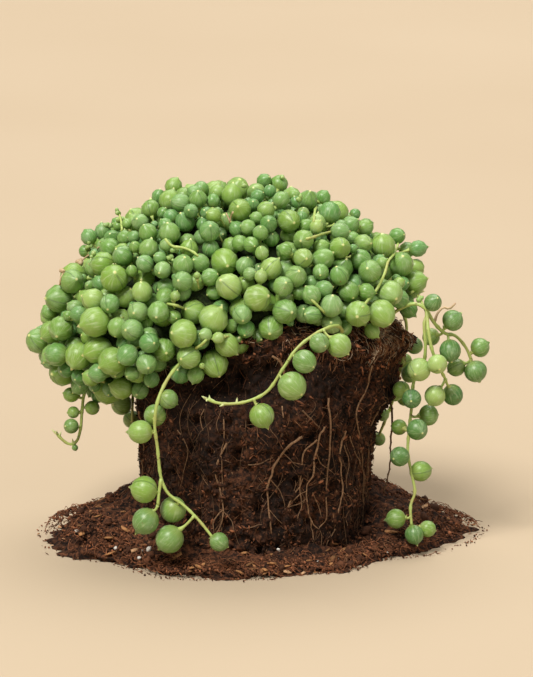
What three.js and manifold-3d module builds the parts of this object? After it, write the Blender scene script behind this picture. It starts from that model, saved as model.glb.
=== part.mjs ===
// A string of pearls plant lifted out of its nursery pot: a bare root ball of dark potting soil, the roots
// that show on its wall, a dense crown of round leaves, the strands that trail from it, and the crumbs at its
// foot. Units are millimetres, +Z is up, and the origin is the centre of the root ball's flat underside.
import * as THREE from "three";
import { mergeVertices } from "three/addons/utils/BufferGeometryUtils.js";
import Module from "manifold-3d";

const wasm = await Module();
wasm.setup();

// Root ball: its wall as [height, radius] pairs, and the radii of the rings on its mounded top
const BALL_TOP = 65;
const BALL_MOUND = 4.5;
const BALL_SIDES = 30;
const BALL_WALL = [[0, 34.5], [2.5, 36], [12, 36.8], [22, 37.4], [30, 38], [36, 38.5], [43, 39.3], [49, 40],
  [53.5, 40.7], [58, 41.2], [62, 41.6], [65, 40.2]];
const BALL_RIM = 40.2;
const BALL_TOP_RINGS = [31, 20, 10];
const LIP = { azimuth: -8, spread: 42, height: 61, depth: 3.6, reach: 5.2 };
const HOLLOW = { azimuth: 266, spread: 24, height: 57.5, depth: 4.5, reach: 2.8 };
const FOOT_RECESS = { azimuth: 8, spread: 34, height: 12, depth: 16, reach: 2.4 };
const SEAT_GAP = 0.35;
const SMALLEST_EDGE = 0.02;

// Loose soil round the foot
const CRUMB_REACH = [61, 57, 54, 57, 62, 55, 51, 53];
const CRUMB_SLOPE = [[1, 1], [0.97, 1], [0.75, 2], [0.42, 3.5], [0.12, 5], [0, 5]];
const CRUMB_SIDES = 30;
const CRUMB_TUCK = 3;

// Roots on the wall: those in front as [azimuth, height] points, the others worked out by a rule
const FRONT_ROOTS = [
  [[289, 42], [281, 37], [275, 29], [274, 19], [277, 8]],
  [[300, 45], [297, 36], [294, 25], [296, 14], [299, 7]],
  [[315, 41], [311, 33], [313, 22], [310, 10]],
  [[255, 40], [250, 30], [253, 18], [249, 8]],
];
const OTHER_ROOTS = { count: 6, first: 345, step: 42 };
const ROOT_RADIUS = 0.6;
const ROOT_LIFT = 1.1;
const ROOT_SIDES = [5, 4];
const ROOT_STEP = 6.5;
const ROOTLET = [[5, -5], [8, -11]];
const ROOT_SEED = 71;

// Crown of pearls: twelve stations every 30 degrees, starting at +X and going round by +Y
const CROWN_AXIS_X = -8;
const CROWN_TOP = 112;
const CROWN_REACH = [57, 56.5, 55, 54, 57, 59, 60, 56, 49, 42, 46, 53];
const CROWN_LEVEL = [80, 76, 72, 70, 68, 66, 64, 65.5, 69, 73, 79, 80];
const CROWN_DROP = [10, 12, 15, 18, 20, 22, 24, 21, 16, 11, 6, 7];
const CROWN_HEM_DEGREES = [108, 112, 116, 120, 125, 131, 134, 131, 124, 116, 105, 104];
const CROWN_SLOPE = 1.45;
const CORE_DEPTH = 3;
const CORE_SIDES = 16;
const CORE_RINGS = 7;
const CORE_FOOT = 57;
const CROWN_SEED = 20931;
const CROWN_ROUNDS = 330;
const CROWN_TRIES = 400;
const CROWN_PEARL = { least: 4.2, hem: 0.7, vary: 0.7, outermost: 0.6, innermost: 1.1 };
const CROWN_PEARL_BULGE = 1.09;
const CROWN_PEARL_TIP = 1.2;
const CROWN_PEARL_OVERLAP = 0.2;
const CROWN_HEART_DROP = 6;

// Pearls and stems
const PEARL_SIDES = 6;
const PEARL_PROFILE = [[0.82, -0.6], [1.04, 0.1], [0.68, 0.78], [0, 1.22]];
const STEM_RADIUS = 0.65;
const PETIOLE_RADIUS = 0.55;
const PETIOLE_PAST_STEM = 0.45;
const STEM_SIDES = 5;
const STEM_STEP = 5;

// Trailing strands: each branch is a route of [x, y, z], each pearl is [x, y, z, radius]
const STRANDS = {
  strand_front_left: {
    branches: [
      [[-17, -24, 59], [-19, -29, 69], [-22, -37, 74], [-25, -44, 71], [-28.6, -48, 63.6], [-31, -48.5, 56],
        [-31.8, -48, 49], [-31, -47, 41], [-29.9, -46, 31], [-27.9, -46, 26.4], [-23.2, -46.5, 22.8],
        [-18.5, -48, 18.4], [-13.9, -49.5, 12.9]],
      [[-29.9, -46, 31], [-30.6, -46.5, 27], [-31, -47, 22.8]],
    ],
    pearls: [
      [-27.6, -46, 56, 3], [-31.8, -43.8, 50.4, 3.4], [-36.2, -47, 46, 3.6], [-35.2, -45.8, 27.5, 4.2],
      [-34.8, -47.5, 17.9, 4.2], [-26.4, -42.6, 20.3, 4.1], [-27.4, -47, 12.1, 4.4], [-12.2, -50, 12, 3.1],
    ],
  },
  strand_front: {
    branches: [
      [[25, -22, 60], [26, -28, 70], [24.5, -36, 76.5], [20, -44, 77.5], [15, -48, 75.4], [11.2, -50, 72.4],
        [7.4, -51, 66.9], [2.4, -51, 59.6], [-3.5, -51, 56.6], [-9.5, -50.3, 55.6], [-14.4, -50, 57],
        [-16.8, -50, 58.6]],
    ],
    pearls: [
      [18.3, -52, 75, 3.1], [24.4, -48.5, 73.4, 3.7], [13.8, -54.4, 69.8, 3.6], [10.1, -55.6, 62.4, 4.5],
      [0.9, -51.5, 52.2, 4],
    ],
  },
  strand_right: {
    branches: [
      [[33, -10, 60], [37, -11.5, 70], [43, -13.5, 76.5], [48.5, -15.5, 79], [52, -16, 77], [51.2, -18, 73],
        [51.6, -18.5, 66], [51, -17, 60], [48.2, -16, 54.5], [47.6, -16, 47], [46.8, -16, 39],
        [46.4, -17, 32], [47.4, -18, 26], [48.6, -19, 19.5], [47.3, -20, 15.5], [47.6, -21.5, 9.5]],
      [[52, -16, 77], [52.4, -20, 71.5], [53.6, -20.5, 65.5], [55.6, -18.5, 60.2], [58, -15.5, 55]],
      [[52, -16, 77], [54.6, -15, 72.6], [58, -13, 69], [61, -11.5, 68], [64.4, -10, 64], [66.2, -10, 60]],
    ],
    pearls: [
      [49.6, -20.8, 59.3, 3.6], [47.8, -12.4, 57, 2.6], [47.4, -20, 49.8, 3.1], [44.4, -11.4, 50.6, 2.8],
      [52.9, -14, 43.1, 3.3], [43.8, -12, 38.7, 2.5], [49.2, -20.6, 40.1, 3.4], [43.8, -20.4, 31.4, 3.1],
      [50.6, -16.6, 25.7, 3.4], [42.7, -20.6, 11.4, 3.1], [48.4, -23, 6.9, 3.1], [52.6, -20.5, 8.1, 2.6],
      [55.2, -23, 61.6, 3.1], [54.7, -18.4, 50.4, 3.3], [60.4, -13, 49.4, 3.3], [53.8, -19, 80.2, 2.8],
      [60.2, -14, 73.4, 3.4], [59.4, -15.6, 64.1, 3.5], [61.6, -9, 57.2, 2.9], [69, -9, 63.6, 3.1],
      [67.6, -11, 56.4, 3.6], [53.6, -10.5, 67.3, 2.8],
    ],
  },
  strand_left: {
    branches: [
      [[-31, -6, 59], [-35, -6.5, 69.5], [-43, -7, 71], [-49.5, -7.5, 64], [-52.5, -8, 55], [-54.8, -8, 48.5],
        [-55.6, -8, 42], [-56, -8, 37.5], [-58, -8, 32.5]],
    ],
    pearls: [
      [-58.8, -9, 48.4, 2.4], [-52.2, -10.5, 44.6, 2.3], [-59, -8.6, 42.2, 2.2], [-59.2, -7, 37.2, 2.2],
      [-58.6, -8, 31.4, 1.4],
    ],
  },
  strand_back_right: {
    branches: [
      [[29, 14, 60], [33, 16, 70], [41, 19.5, 72], [46.4, 21.5, 66], [46.4, 21.5, 56], [44.5, 22, 47],
        [43.2, 25.5, 39.5], [41, 29, 32], [38.8, 31, 26]],
    ],
    pearls: [
      [49.4, 20, 57.4, 2.8], [48, 18.6, 48.6, 2.9], [46.4, 26, 51, 2.5], [43.4, 19.4, 42, 2.5],
      [46.6, 27.4, 38.4, 2.5], [39.6, 25.6, 33.4, 2.1], [38.6, 32.4, 23.6, 2.1],
    ],
  },
};
const HANGING_SEED = 4127;
const HANGING = [
  { name: "strand_back_1", azimuth: 66, foot: 17, drift: 6 },
  { name: "strand_back_2", azimuth: 105, foot: 10, drift: -5 },
  { name: "strand_back_3", azimuth: 142, foot: 27, drift: 6 },
];
const HANGING_BEND = [[30, 59], [33.5, 70], [40, 72], [46.5, 67]];
const HANGING_RADIUS = 48;
const HANGING_START = 57;
const HANGING_STEP = 8;
const HANGING_PEARL_STEP = 7.6;

// Materials
const soilMaterial = new THREE.MeshStandardMaterial({ color: 0x3b2416, roughness: 0.95, metalness: 0 });
const crumbMaterial = new THREE.MeshStandardMaterial({ color: 0x452a1a, roughness: 0.95, metalness: 0 });
const rootMaterial = new THREE.MeshStandardMaterial({ color: 0xa27a54, roughness: 0.8, metalness: 0 });
const crownMaterial = new THREE.MeshStandardMaterial({ color: 0x6a9a4f, roughness: 0.45, metalness: 0 });
const strandMaterial = new THREE.MeshStandardMaterial({ color: 0x7fae58, roughness: 0.45, metalness: 0 });

// Numbers between 0 and 1 from the minimal standard generator, the same each run
function randomSource(seed) {
  const modulus = 2147483647;
  let state = seed;
  return () => {
    state = (state * 16807) % modulus;
    return state / modulus;
  };
}

const radians = THREE.MathUtils.degToRad;

// A bell-shaped weight that is 1 at zero and fades over the given width
function bell(distance, width) {
  return Math.exp(-((distance / width) ** 2));
}

// The signed angle from b to a, in degrees, between -180 and 180
function turnBetween(a, b) {
  return THREE.MathUtils.euclideanModulo(a - b + 180, 360) - 180;
}

// Straight-line interpolation in a list of [key, value] pairs
function alongList(list, key) {
  for (let i = 1; i < list.length; i++) {
    if (key <= list[i][0]) {
      const share = (key - list[i - 1][0]) / (list[i][0] - list[i - 1][0]);
      return THREE.MathUtils.lerp(list[i - 1][1], list[i][1], Math.max(share, 0));
    }
  }
  return list[list.length - 1][1];
}

// A smooth value at an azimuth in degrees, from stations spread evenly round the circle
function roundStations(stations, azimuth) {
  const place = (THREE.MathUtils.euclideanModulo(azimuth, 360) / 360) * stations.length;
  const before = Math.floor(place) % stations.length;
  const after = (before + 1) % stations.length;
  const share = (1 - Math.cos((place - Math.floor(place)) * Math.PI)) / 2;
  return THREE.MathUtils.lerp(stations[before], stations[after], share);
}

function dent(shape, azimuth, height) {
  const across = bell(turnBetween(azimuth, shape.azimuth), shape.spread);
  return shape.reach * across * bell(height - shape.height, shape.depth);
}

// The root ball's radius at an azimuth in degrees and a height
function wallRadius(azimuth, height) {
  const a = radians(azimuth);
  const broad = 0.7 * Math.sin(3 * a + 1) + 0.5 * Math.sin(5 * a - 0.7 + height / 30);
  const plain = alongList(BALL_WALL, height) + broad + 0.35 * Math.sin(8 * a + height / 9);
  const hollows = dent(HOLLOW, azimuth, height) + dent(FOOT_RECESS, azimuth, height);
  return plain + dent(LIP, azimuth, height) - hollows;
}

// The height of the soil's top surface at a share of the way from the axis to the rim
function soilTop(share, azimuth) {
  const a = radians(azimuth);
  return BALL_TOP + BALL_MOUND * (1 - share * share) + 0.8 * share * Math.sin(4 * a + 0.6);
}

// Moves each vertex of a geometry turned about Z by a rule of its azimuth, radius and height
function reshape(geometry, place) {
  const at = geometry.getAttribute("position");
  const point = new THREE.Vector3();
  for (let i = 0; i < at.count; i++) {
    point.fromBufferAttribute(at, i);
    const azimuth = THREE.MathUtils.radToDeg(Math.atan2(point.y, point.x));
    place(point, Math.round(azimuth * 1000) / 1000, Math.hypot(point.x, point.y), point.z);
    at.setXYZ(i, point.x, point.y, point.z);
  }
  return geometry;
}

// A profile of [radius, height] points turned about Z
function turned(profile, sides) {
  const points = profile.map(([radius, height]) => new THREE.Vector2(radius, height));
  return new THREE.LatheGeometry(points, sides).rotateX(Math.PI / 2);
}

// Puts a point at an azimuth in degrees, a radius and a height
function setRound(point, azimuth, radius, height) {
  point.set(radius * Math.cos(radians(azimuth)), radius * Math.sin(radians(azimuth)), height);
}

// A smooth curve through a route of [x, y, z] points
function curveThrough(route) {
  return new THREE.CatmullRomCurve3(route.map((p) => new THREE.Vector3(...p)), false, "centripetal");
}

// A closed three.js geometry as a solid for joining and cutting
function toSolid(geometry) {
  const flat = geometry.index ? geometry.toNonIndexed() : geometry;
  const bare = new THREE.BufferGeometry().setAttribute("position", flat.getAttribute("position"));
  const merged = mergeVertices(bare, 1e-4);
  const corners = merged.index.array;
  const kept = [];
  for (let i = 0; i < corners.length; i += 3) {
    const [a, b, c] = [corners[i], corners[i + 1], corners[i + 2]];
    if (a !== b && b !== c && c !== a) kept.push(a, b, c);
  }
  const mesh = new wasm.Mesh({
    numProp: 3,
    vertProperties: new Float32Array(merged.attributes.position.array),
    triVerts: new Uint32Array(kept),
  });
  return new wasm.Manifold(mesh);
}

// The largest body of a solid, without the loose scraps that a cut leaves
function largestBody(solid) {
  return solid.decompose().reduce((best, body) => (body.volume() > best.volume() ? body : best));
}

// A solid as a named mesh
function toMesh(name, solid, material) {
  const made = solid.simplify(SMALLEST_EDGE).getMesh();
  const places = new Float32Array(made.numVert * 3);
  for (let i = 0; i < made.numVert; i++) {
    places.set(made.vertProperties.subarray(i * made.numProp, i * made.numProp + 3), i * 3);
  }
  const geometry = new THREE.BufferGeometry();
  geometry.setAttribute("position", new THREE.BufferAttribute(places, 3));
  geometry.setIndex(new THREE.BufferAttribute(new Uint32Array(made.triVerts), 1));
  geometry.computeVertexNormals();
  const mesh = new THREE.Mesh(geometry, material);
  mesh.name = name;
  return mesh;
}

// A round stem along a route of points
function stemSolid(route, radius, sides = STEM_SIDES, step = STEM_STEP) {
  const curve = curveThrough(route);
  const corners = [];
  for (let i = 0; i < sides; i++) {
    const a = (i * 2 * Math.PI) / sides;
    corners.push(new THREE.Vector2(radius * Math.cos(a), radius * Math.sin(a)));
  }
  const outline = new THREE.Shape(corners);
  const steps = Math.max(1, Math.round(curve.getLength() / step));
  return toSolid(new THREE.ExtrudeGeometry(outline, { steps, bevelEnabled: false, extrudePath: curve }));
}

// A pearl that hangs from a stem: round, with a small point, on a petiole that thins to the stem
function hangingPearl(centre, radius, direction, spin, petiole) {
  const base = [[0, -petiole.length - PETIOLE_PAST_STEM], [petiole.radius, -0.97 * radius]];
  const profile = [...base, ...PEARL_PROFILE.map(([r, h]) => [r * radius, h * radius])];
  const points = profile.map(([r, h]) => new THREE.Vector2(r, h));
  const geometry = new THREE.LatheGeometry(points, PEARL_SIDES).rotateY(spin);
  geometry.applyQuaternion(new THREE.Quaternion().setFromUnitVectors(new THREE.Vector3(0, 1, 0), direction));
  return toSolid(geometry.translate(centre.x, centre.y, centre.z));
}

// The point of several routes that lies nearest to a pearl's centre
function nearestOn(routes, centre) {
  let best = null;
  for (const route of routes) {
    for (const point of curveThrough(route).getSpacedPoints(60)) {
      if (!best || point.distanceTo(centre) < best.distanceTo(centre)) best = point;
    }
  }
  return best;
}

// A strand as one body: its stems, a short petiole to each pearl, and the pearls
function strandSolid(strand, grow = 0) {
  const parts = strand.branches.map((route) => stemSolid(route, STEM_RADIUS + grow));
  strand.pearls.forEach(([x, y, z, radius], i) => {
    const centre = new THREE.Vector3(x, y, z);
    const foot = nearestOn(strand.branches, centre);
    const direction = centre.clone().sub(foot).normalize();
    const petiole = { length: centre.distanceTo(foot), radius: PETIOLE_RADIUS + grow };
    parts.push(hangingPearl(centre, radius + grow, direction, i, petiole));
  });
  return parts.reduce((whole, next) => whole.add(next));
}

// A strand that hangs straight down behind the plant, worked out from its azimuth and its lowest height
function hangingStrand({ azimuth, foot, drift }, next) {
  const route = [...HANGING_BEND];
  for (let height = HANGING_START; height > foot; height -= HANGING_STEP) {
    route.push([HANGING_RADIUS, height]);
  }
  route.push([HANGING_RADIUS, foot]);
  const points = route.map(([radius, height]) => {
    const fallen = Math.max(0, 1 - height / HANGING_START);
    const a = radians(azimuth + drift * Math.sin(fallen * 4));
    return [radius * Math.cos(a), radius * Math.sin(a), height];
  });
  const places = curveThrough(points).getSpacedPoints(120);
  const pearls = [];
  let side = 1;
  let height = HANGING_START - 1;
  while (height > foot - 2) {
    const on = places.reduce((a, b) => (Math.abs(b.z - height) < Math.abs(a.z - height) ? b : a));
    const radius = 2.4 + 1.5 * ((height - foot) / (HANGING_START - foot)) + 0.5 * next();
    const a = Math.atan2(on.y, on.x) + side * (0.9 + 0.5 * next());
    const away = radius + STEM_RADIUS + 0.5;
    pearls.push([on.x + away * Math.cos(a), on.y + away * Math.sin(a), on.z - 1.2, radius]);
    side = -side;
    height -= HANGING_PEARL_STEP * (0.85 + 0.3 * next());
  }
  return { branches: [points], pearls };
}

// A point of the crown's surface of pearl centres, psi degrees down from its top and depth mm inside it
function crownPoint(azimuth, psi, depth) {
  const reach = roundStations(CROWN_REACH, azimuth);
  const level = roundStations(CROWN_LEVEL, azimuth);
  const fall = Math.cos(radians(psi));
  const drop = roundStations(CROWN_DROP, azimuth);
  const height = level + (fall < 0 ? drop * fall : (CROWN_TOP - level) * fall ** CROWN_SLOPE);
  const point = new THREE.Vector3();
  setRound(point, azimuth, reach * Math.sin(radians(psi)), height);
  const inward = new THREE.Vector3(0, 0, level).sub(point).normalize();
  point.addScaledVector(inward, depth);
  point.x += CROWN_AXIS_X;
  return point;
}

// The smaller solid inside the crown that its pearls stand out of
function coreSolid() {
  const profile = [[0, 0]];
  for (let i = 1; i <= CORE_RINGS; i++) profile.push([1, i / CORE_RINGS]);
  profile.push([0, 1]);
  const geometry = turned(profile.reverse(), CORE_SIDES);
  reshape(geometry, (point, azimuth, radius, share) => {
    if (radius < 0.5 && share > 0.5) {
      point.set(CROWN_AXIS_X, 0, CORE_FOOT);
      return;
    }
    const psi = share * roundStations(CROWN_HEM_DEGREES, azimuth);
    point.copy(crownPoint(azimuth, psi, CORE_DEPTH));
  });
  return toSolid(geometry);
}

// Whether a pearl would stand clear of the soil and of every strand
function standsClear(centre, radius, strands) {
  const azimuth = THREE.MathUtils.radToDeg(Math.atan2(centre.y, centre.x));
  const out = Math.hypot(centre.x, centre.y);
  const rim = wallRadius(azimuth, Math.min(centre.z, BALL_TOP));
  const above = centre.z - radius * 0.7 > soilTop(Math.min(out / rim, 1), azimuth);
  if (!above && out - radius < rim + SEAT_GAP) return false;
  const room = ([x, y, z, r]) => Math.hypot(x - centre.x, y - centre.y, z - centre.z) - r - radius;
  return strands.every((strand) => strand.pearls.every((pearl) => room(pearl) > SEAT_GAP));
}

// A pearl of the crown: a ball of few faces whose outermost corner is drawn out to a small point
function crownPearlSolid({ centre, radius, direction }) {
  const geometry = new THREE.IcosahedronGeometry(radius * CROWN_PEARL_BULGE, 0);
  const at = geometry.getAttribute("position");
  const corner = new THREE.Vector3().fromBufferAttribute(at, 0).normalize();
  const point = new THREE.Vector3();
  for (let i = 0; i < at.count; i++) {
    point.fromBufferAttribute(at, i);
    if (point.dot(corner) > 0.99 * radius * CROWN_PEARL_BULGE) point.setLength(radius * CROWN_PEARL_TIP);
    at.setXYZ(i, point.x, point.y, point.z);
  }
  geometry.applyQuaternion(new THREE.Quaternion().setFromUnitVectors(corner, direction));
  return toSolid(geometry.translate(centre.x, centre.y, centre.z));
}

// A pearl at a random place on the crown's surface, larger towards the hem
function randomCrownPearl(next) {
  const azimuth = 360 * next();
  const hem = roundStations(CROWN_HEM_DEGREES, azimuth);
  const psi = THREE.MathUtils.radToDeg(Math.acos(1 - next() * (1 - Math.cos(radians(hem)))));
  const depth = THREE.MathUtils.lerp(-CROWN_PEARL.outermost, CROWN_PEARL.innermost, next());
  const radius = CROWN_PEARL.least + CROWN_PEARL.hem * Math.min(psi / 90, 1) + CROWN_PEARL.vary * next();
  const tilt = new THREE.Vector3(next() - 0.5, next() - 0.5, next() - 0.7);
  const centre = crownPoint(azimuth, psi, depth);
  const heart = new THREE.Vector3(CROWN_AXIS_X, 0, roundStations(CROWN_LEVEL, azimuth) - CROWN_HEART_DROP);
  return { centre, radius, direction: centre.clone().sub(heart).normalize().add(tilt).normalize() };
}

// The crown's pearls, each the one of many random places that nestles closest to the pearls before it
function crownPearls(strands) {
  const next = randomSource(CROWN_SEED);
  const pearls = [];
  for (let i = 0; i < CROWN_ROUNDS; i++) {
    let best = null;
    for (let j = 0; j < CROWN_TRIES; j++) {
      const pearl = randomCrownPearl(next);
      const gaps = pearls.map((other) => other.centre.distanceTo(pearl.centre) - pearl.radius - other.radius);
      gaps.sort((a, b) => a - b);
      if (gaps[0] < -CROWN_PEARL_OVERLAP) continue;
      if (!standsClear(pearl.centre, pearl.radius, strands)) continue;
      pearl.room = gaps.slice(0, 3).reduce((sum, gap) => sum + gap, 0);
      if (!best || pearl.room < best.room) best = pearl;
    }
    if (best) pearls.push(best);
  }
  return pearls;
}

// A root that lies on the root ball's wall, with a side rootlet from its middle
function wallRoot(route, side) {
  const place = ([azimuth, height]) => {
    const point = new THREE.Vector3();
    setRound(point, azimuth, wallRadius(azimuth, height) + ROOT_LIFT, height);
    return point.toArray();
  };
  const fork = route[Math.floor(route.length / 2)];
  const rootlet = [fork, ...ROOTLET.map(([turn, fall]) => [fork[0] + side * turn, fork[1] + fall])];
  const main = stemSolid(route.map(place), ROOT_RADIUS, ROOT_SIDES[0], ROOT_STEP);
  return main.add(stemSolid(rootlet.map(place), ROOT_RADIUS * 0.8, ROOT_SIDES[1], ROOT_STEP));
}

// A route for a root that wanders down from a random height
function wanderingRoute(azimuth, next) {
  const top = 50 - 12 * next();
  const bottom = 8 + 6 * next();
  const sway = 4 + 4 * next();
  const phase = 6 * next();
  const route = [];
  for (let i = 0; i <= 5; i++) {
    route.push([azimuth + sway * Math.sin(phase + 0.7 * i), THREE.MathUtils.lerp(top, bottom, i / 5)]);
  }
  return route;
}

// The root ball, or the room it needs where a gap is given
function ballSolid(gap = 0) {
  const profile = [[0, 0], ...BALL_WALL.map(([height, radius]) => [radius, height])];
  BALL_TOP_RINGS.forEach((radius, i) => profile.push([radius, BALL_TOP + 1 + i]));
  profile.push([0, BALL_TOP + 1 + BALL_TOP_RINGS.length]);
  const geometry = turned(profile, BALL_SIDES);
  reshape(geometry, (point, azimuth, radius, height) => {
    if (height >= BALL_TOP) {
      const share = radius / BALL_RIM;
      setRound(point, azimuth, share * (wallRadius(azimuth, BALL_TOP) + gap), soilTop(share, azimuth) + gap);
    } else if (height > 0 || radius > 0) {
      setRound(point, azimuth, wallRadius(azimuth, height) + gap, height > 0 ? height : -gap);
    } else {
      point.z = -gap;
    }
  });
  return toSolid(geometry);
}

// The ring of crumbs that fell from the root ball and lie round its foot
function crumbsSolid() {
  const profile = [[1, 0], [2, 0], ...CRUMB_SLOPE.map(([share, height]) => [1 + share, height]), [1, 0]];
  const geometry = turned(profile, CRUMB_SIDES);
  reshape(geometry, (point, azimuth, radius, height) => {
    const a = radians(azimuth);
    const share = radius - 1;
    const inner = wallRadius(azimuth, 0) - CRUMB_TUCK;
    const outer = roundStations(CRUMB_REACH, azimuth) + 1.6 * Math.sin(6 * a + 0.4) + 1.1 * Math.sin(11 * a);
    const uneven = 0.22 * Math.sin(5 * a + 4 * share) + 0.12 * Math.sin(9 * a - 7 * share);
    setRound(point, azimuth, THREE.MathUtils.lerp(inner, outer, share), height * (1 + uneven));
  });
  return toSolid(geometry).subtract(ballSolid(SEAT_GAP));
}

// Assembly
const nextHanging = randomSource(HANGING_SEED);
const strands = { ...STRANDS };
for (const spec of HANGING) strands[spec.name] = hangingStrand(spec, nextHanging);

const group = new THREE.Group();
let ball = ballSolid();
let crown = coreSolid();
for (const pearl of crownPearls(Object.values(strands))) crown = crown.add(crownPearlSolid(pearl));
crown = crown.subtract(ballSolid(SEAT_GAP));
for (const [name, strand] of Object.entries(strands)) {
  const clearance = strandSolid(strand, SEAT_GAP);
  ball = ball.subtract(clearance);
  crown = crown.subtract(clearance);
  group.add(toMesh(name, strandSolid(strand), strandMaterial));
}
group.add(toMesh("root_ball", largestBody(ball), soilMaterial));
group.add(toMesh("crown", largestBody(crown), crownMaterial));
group.add(toMesh("loose_soil", largestBody(crumbsSolid()), crumbMaterial));

const nextRoot = randomSource(ROOT_SEED);
const rootRoutes = [...FRONT_ROOTS];
for (let i = 0; i < OTHER_ROOTS.count; i++) {
  rootRoutes.push(wanderingRoute(OTHER_ROOTS.first + i * OTHER_ROOTS.step, nextRoot));
}
rootRoutes.forEach((route, i) => {
  group.add(toMesh(`wall_root_${i + 1}`, wallRoot(route, i < FRONT_ROOTS.length ? 1 : -1), rootMaterial));
});

export default group;
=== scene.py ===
"""Looks of a string of pearls plant that stands on its bare root ball, laid out as an add-on and run as a
script.

Lengths in this file are millimetres and angles are degrees, unless a name says otherwise. Azimuth 0 is +X
and 90 is +Y. The meshes are put into metres as they are made.
"""

import bpy
import numpy as np
from bpy.props import FloatProperty, FloatVectorProperty, IntProperty, PointerProperty
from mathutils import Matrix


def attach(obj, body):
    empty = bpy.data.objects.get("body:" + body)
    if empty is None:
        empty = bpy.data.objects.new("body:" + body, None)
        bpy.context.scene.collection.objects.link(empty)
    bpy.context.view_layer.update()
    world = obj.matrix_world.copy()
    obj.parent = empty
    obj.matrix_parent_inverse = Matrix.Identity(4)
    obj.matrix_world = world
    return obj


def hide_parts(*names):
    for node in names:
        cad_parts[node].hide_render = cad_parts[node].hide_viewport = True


bl_info = {
    "name": "String of pearls plant",
    "version": (1, 0, 0),
    "blender": (4, 5, 0),
    "location": "View3D > Sidebar > Plant",
    "description": "Root ball, loose soil, roots, crown and trailing strands of a string of pearls plant",
    "category": "Object",
}

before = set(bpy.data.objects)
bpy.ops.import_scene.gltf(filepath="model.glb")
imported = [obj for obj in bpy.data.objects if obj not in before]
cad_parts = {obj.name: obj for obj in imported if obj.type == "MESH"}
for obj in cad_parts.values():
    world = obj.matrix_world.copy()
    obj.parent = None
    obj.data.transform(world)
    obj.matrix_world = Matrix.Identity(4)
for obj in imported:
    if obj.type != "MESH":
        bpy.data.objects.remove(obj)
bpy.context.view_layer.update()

METRES = 0.001

# Root ball: its wall as [height, radius] pairs, and what stands out of it or lies back from it
BALL_TOP = 65
BALL_MOUND = 4.5
BALL_WALL = [[0, 34.5], [2.5, 36], [12, 36.8], [22, 37.4], [30, 38], [36, 38.5], [43, 39.3], [49, 40],
             [53.5, 40.7], [58, 41.2], [62, 41.6], [65, 40.2]]
LIP = {"azimuth": -8, "spread": 42, "height": 61, "depth": 3.6, "reach": 5.2}
HOLLOW = {"azimuth": 265, "spread": 32, "height": 58, "depth": 6.5, "reach": 7}
FOOT_RECESS = {"azimuth": 8, "spread": 34, "height": 12, "depth": 16, "reach": 2.4}
SIDE_HOLLOW = {"azimuth": 4, "spread": 30, "height": 34, "depth": 22, "reach": 2.8}
RIM_RISE = {"azimuth": 300, "spread": 70, "reach": 7, "from": 50}
SHOULDER = {"share": 0.7, "width": 0.26, "reach": 6}
LEDGE = {"azimuth": -4, "spread": 26, "height": 48.5, "depth": 5.5, "reach": 5}
# Places where the soil is made darker or lighter: the first is painted shade in the hollow under the crown's
# hem, the third painted light near the lip
PAINTED_SHADE_AND_LIGHT = [
    {"azimuth": 262, "spread": 30, "height": 58, "depth": 6.5, "reach": 1},
    {"azimuth": 245, "spread": 14, "height": 42, "depth": 9, "reach": 0.8},
    {"azimuth": 344, "spread": 38, "height": 68, "depth": 9, "reach": -1.1},
    {"azimuth": 325, "spread": 18, "height": 35, "depth": 22, "reach": -0.25},
]

# Loose soil round the foot
CRUMB_REACH = [68, 64, 55, 60, 67, 56, 50, 46]
CRUMB_HEAP = [2.4, 2.6, 1.5, 2.5, 3.3, 1.4, 0.9, 0.8]
CRUMB_LIMIT = 75
CRUMB_SLOPE = [[0, 5], [0.12, 5], [0.42, 3.6], [0.75, 2.5], [0.97, 1.2], [1, 0.6]]
CRUMB_TUCK = 3

# Roots on the wall: those in front as [azimuth, height] points, the others worked out by a rule
FRONT_ROOTS = [
    [[289, 42], [281, 37], [275, 29], [274, 19], [277, 8]],
    [[300, 45], [297, 36], [294, 25], [296, 14], [299, 7]],
    [[315, 41], [311, 33], [313, 22], [310, 10]],
    [[255, 40], [250, 30], [253, 18], [249, 8]],
]
OTHER_ROOTS = {"count": 6, "first": 345, "step": 42}
ROOT_LIFT = 0.35

# Thin roots that the camera sees on the wall, each a radius in mm and a route of [across, down] in picture
# points
SEEN_ROOTS = [
    [0.25, [[317, 440], [304, 453], [302, 470], [300, 487], [301, 507], [297, 520]]],
    [0.29, [[328, 398], [331, 433], [328, 470], [326, 500], [325, 520], [318, 530]]],
    [0.26, [[372, 366], [367, 387], [357, 410], [360, 440], [363, 467], [363, 503]]],
    [0.17, [[350, 436], [357, 457], [365, 477], [366, 495]]],
    [0.22, [[287, 507], [293, 497], [300, 487], [303, 478]]],
    [0.18, [[287, 507], [294, 494], [296, 480]]],
    [0.18, [[288, 506], [298, 496], [308, 490]]],
    [0.18, [[287, 507], [299, 503], [307, 498]]],
    [0.36, [[272, 356], [279, 361], [283, 370], [282, 387], [283, 417]]],
    [0.18, [[222, 403], [224, 427], [222, 453], [223, 493], [222, 520]]],
    [0.16, [[177, 430], [187, 447], [185, 467], [180, 487]]],
    [0.2, [[242, 530], [252, 527], [263, 525]]],
    [0.18, [[248, 464], [260, 463], [273, 458]]],
    [0.25, [[303, 411], [310, 418], [320, 428]]],
    [0.2, [[206, 404], [201, 418], [203, 431]]],
    [0.15, [[345, 446], [349, 462], [346, 480], [350, 500]]],
]
HANGING_ROOT = [[38.5, -5.5, 49], [41.2, -6, 45], [41.6, -6.4, 38], [41.2, -6.2, 32], [41.4, -6, 27],
                [40.5, -6, 21], [39.4, -6, 16]]

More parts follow.
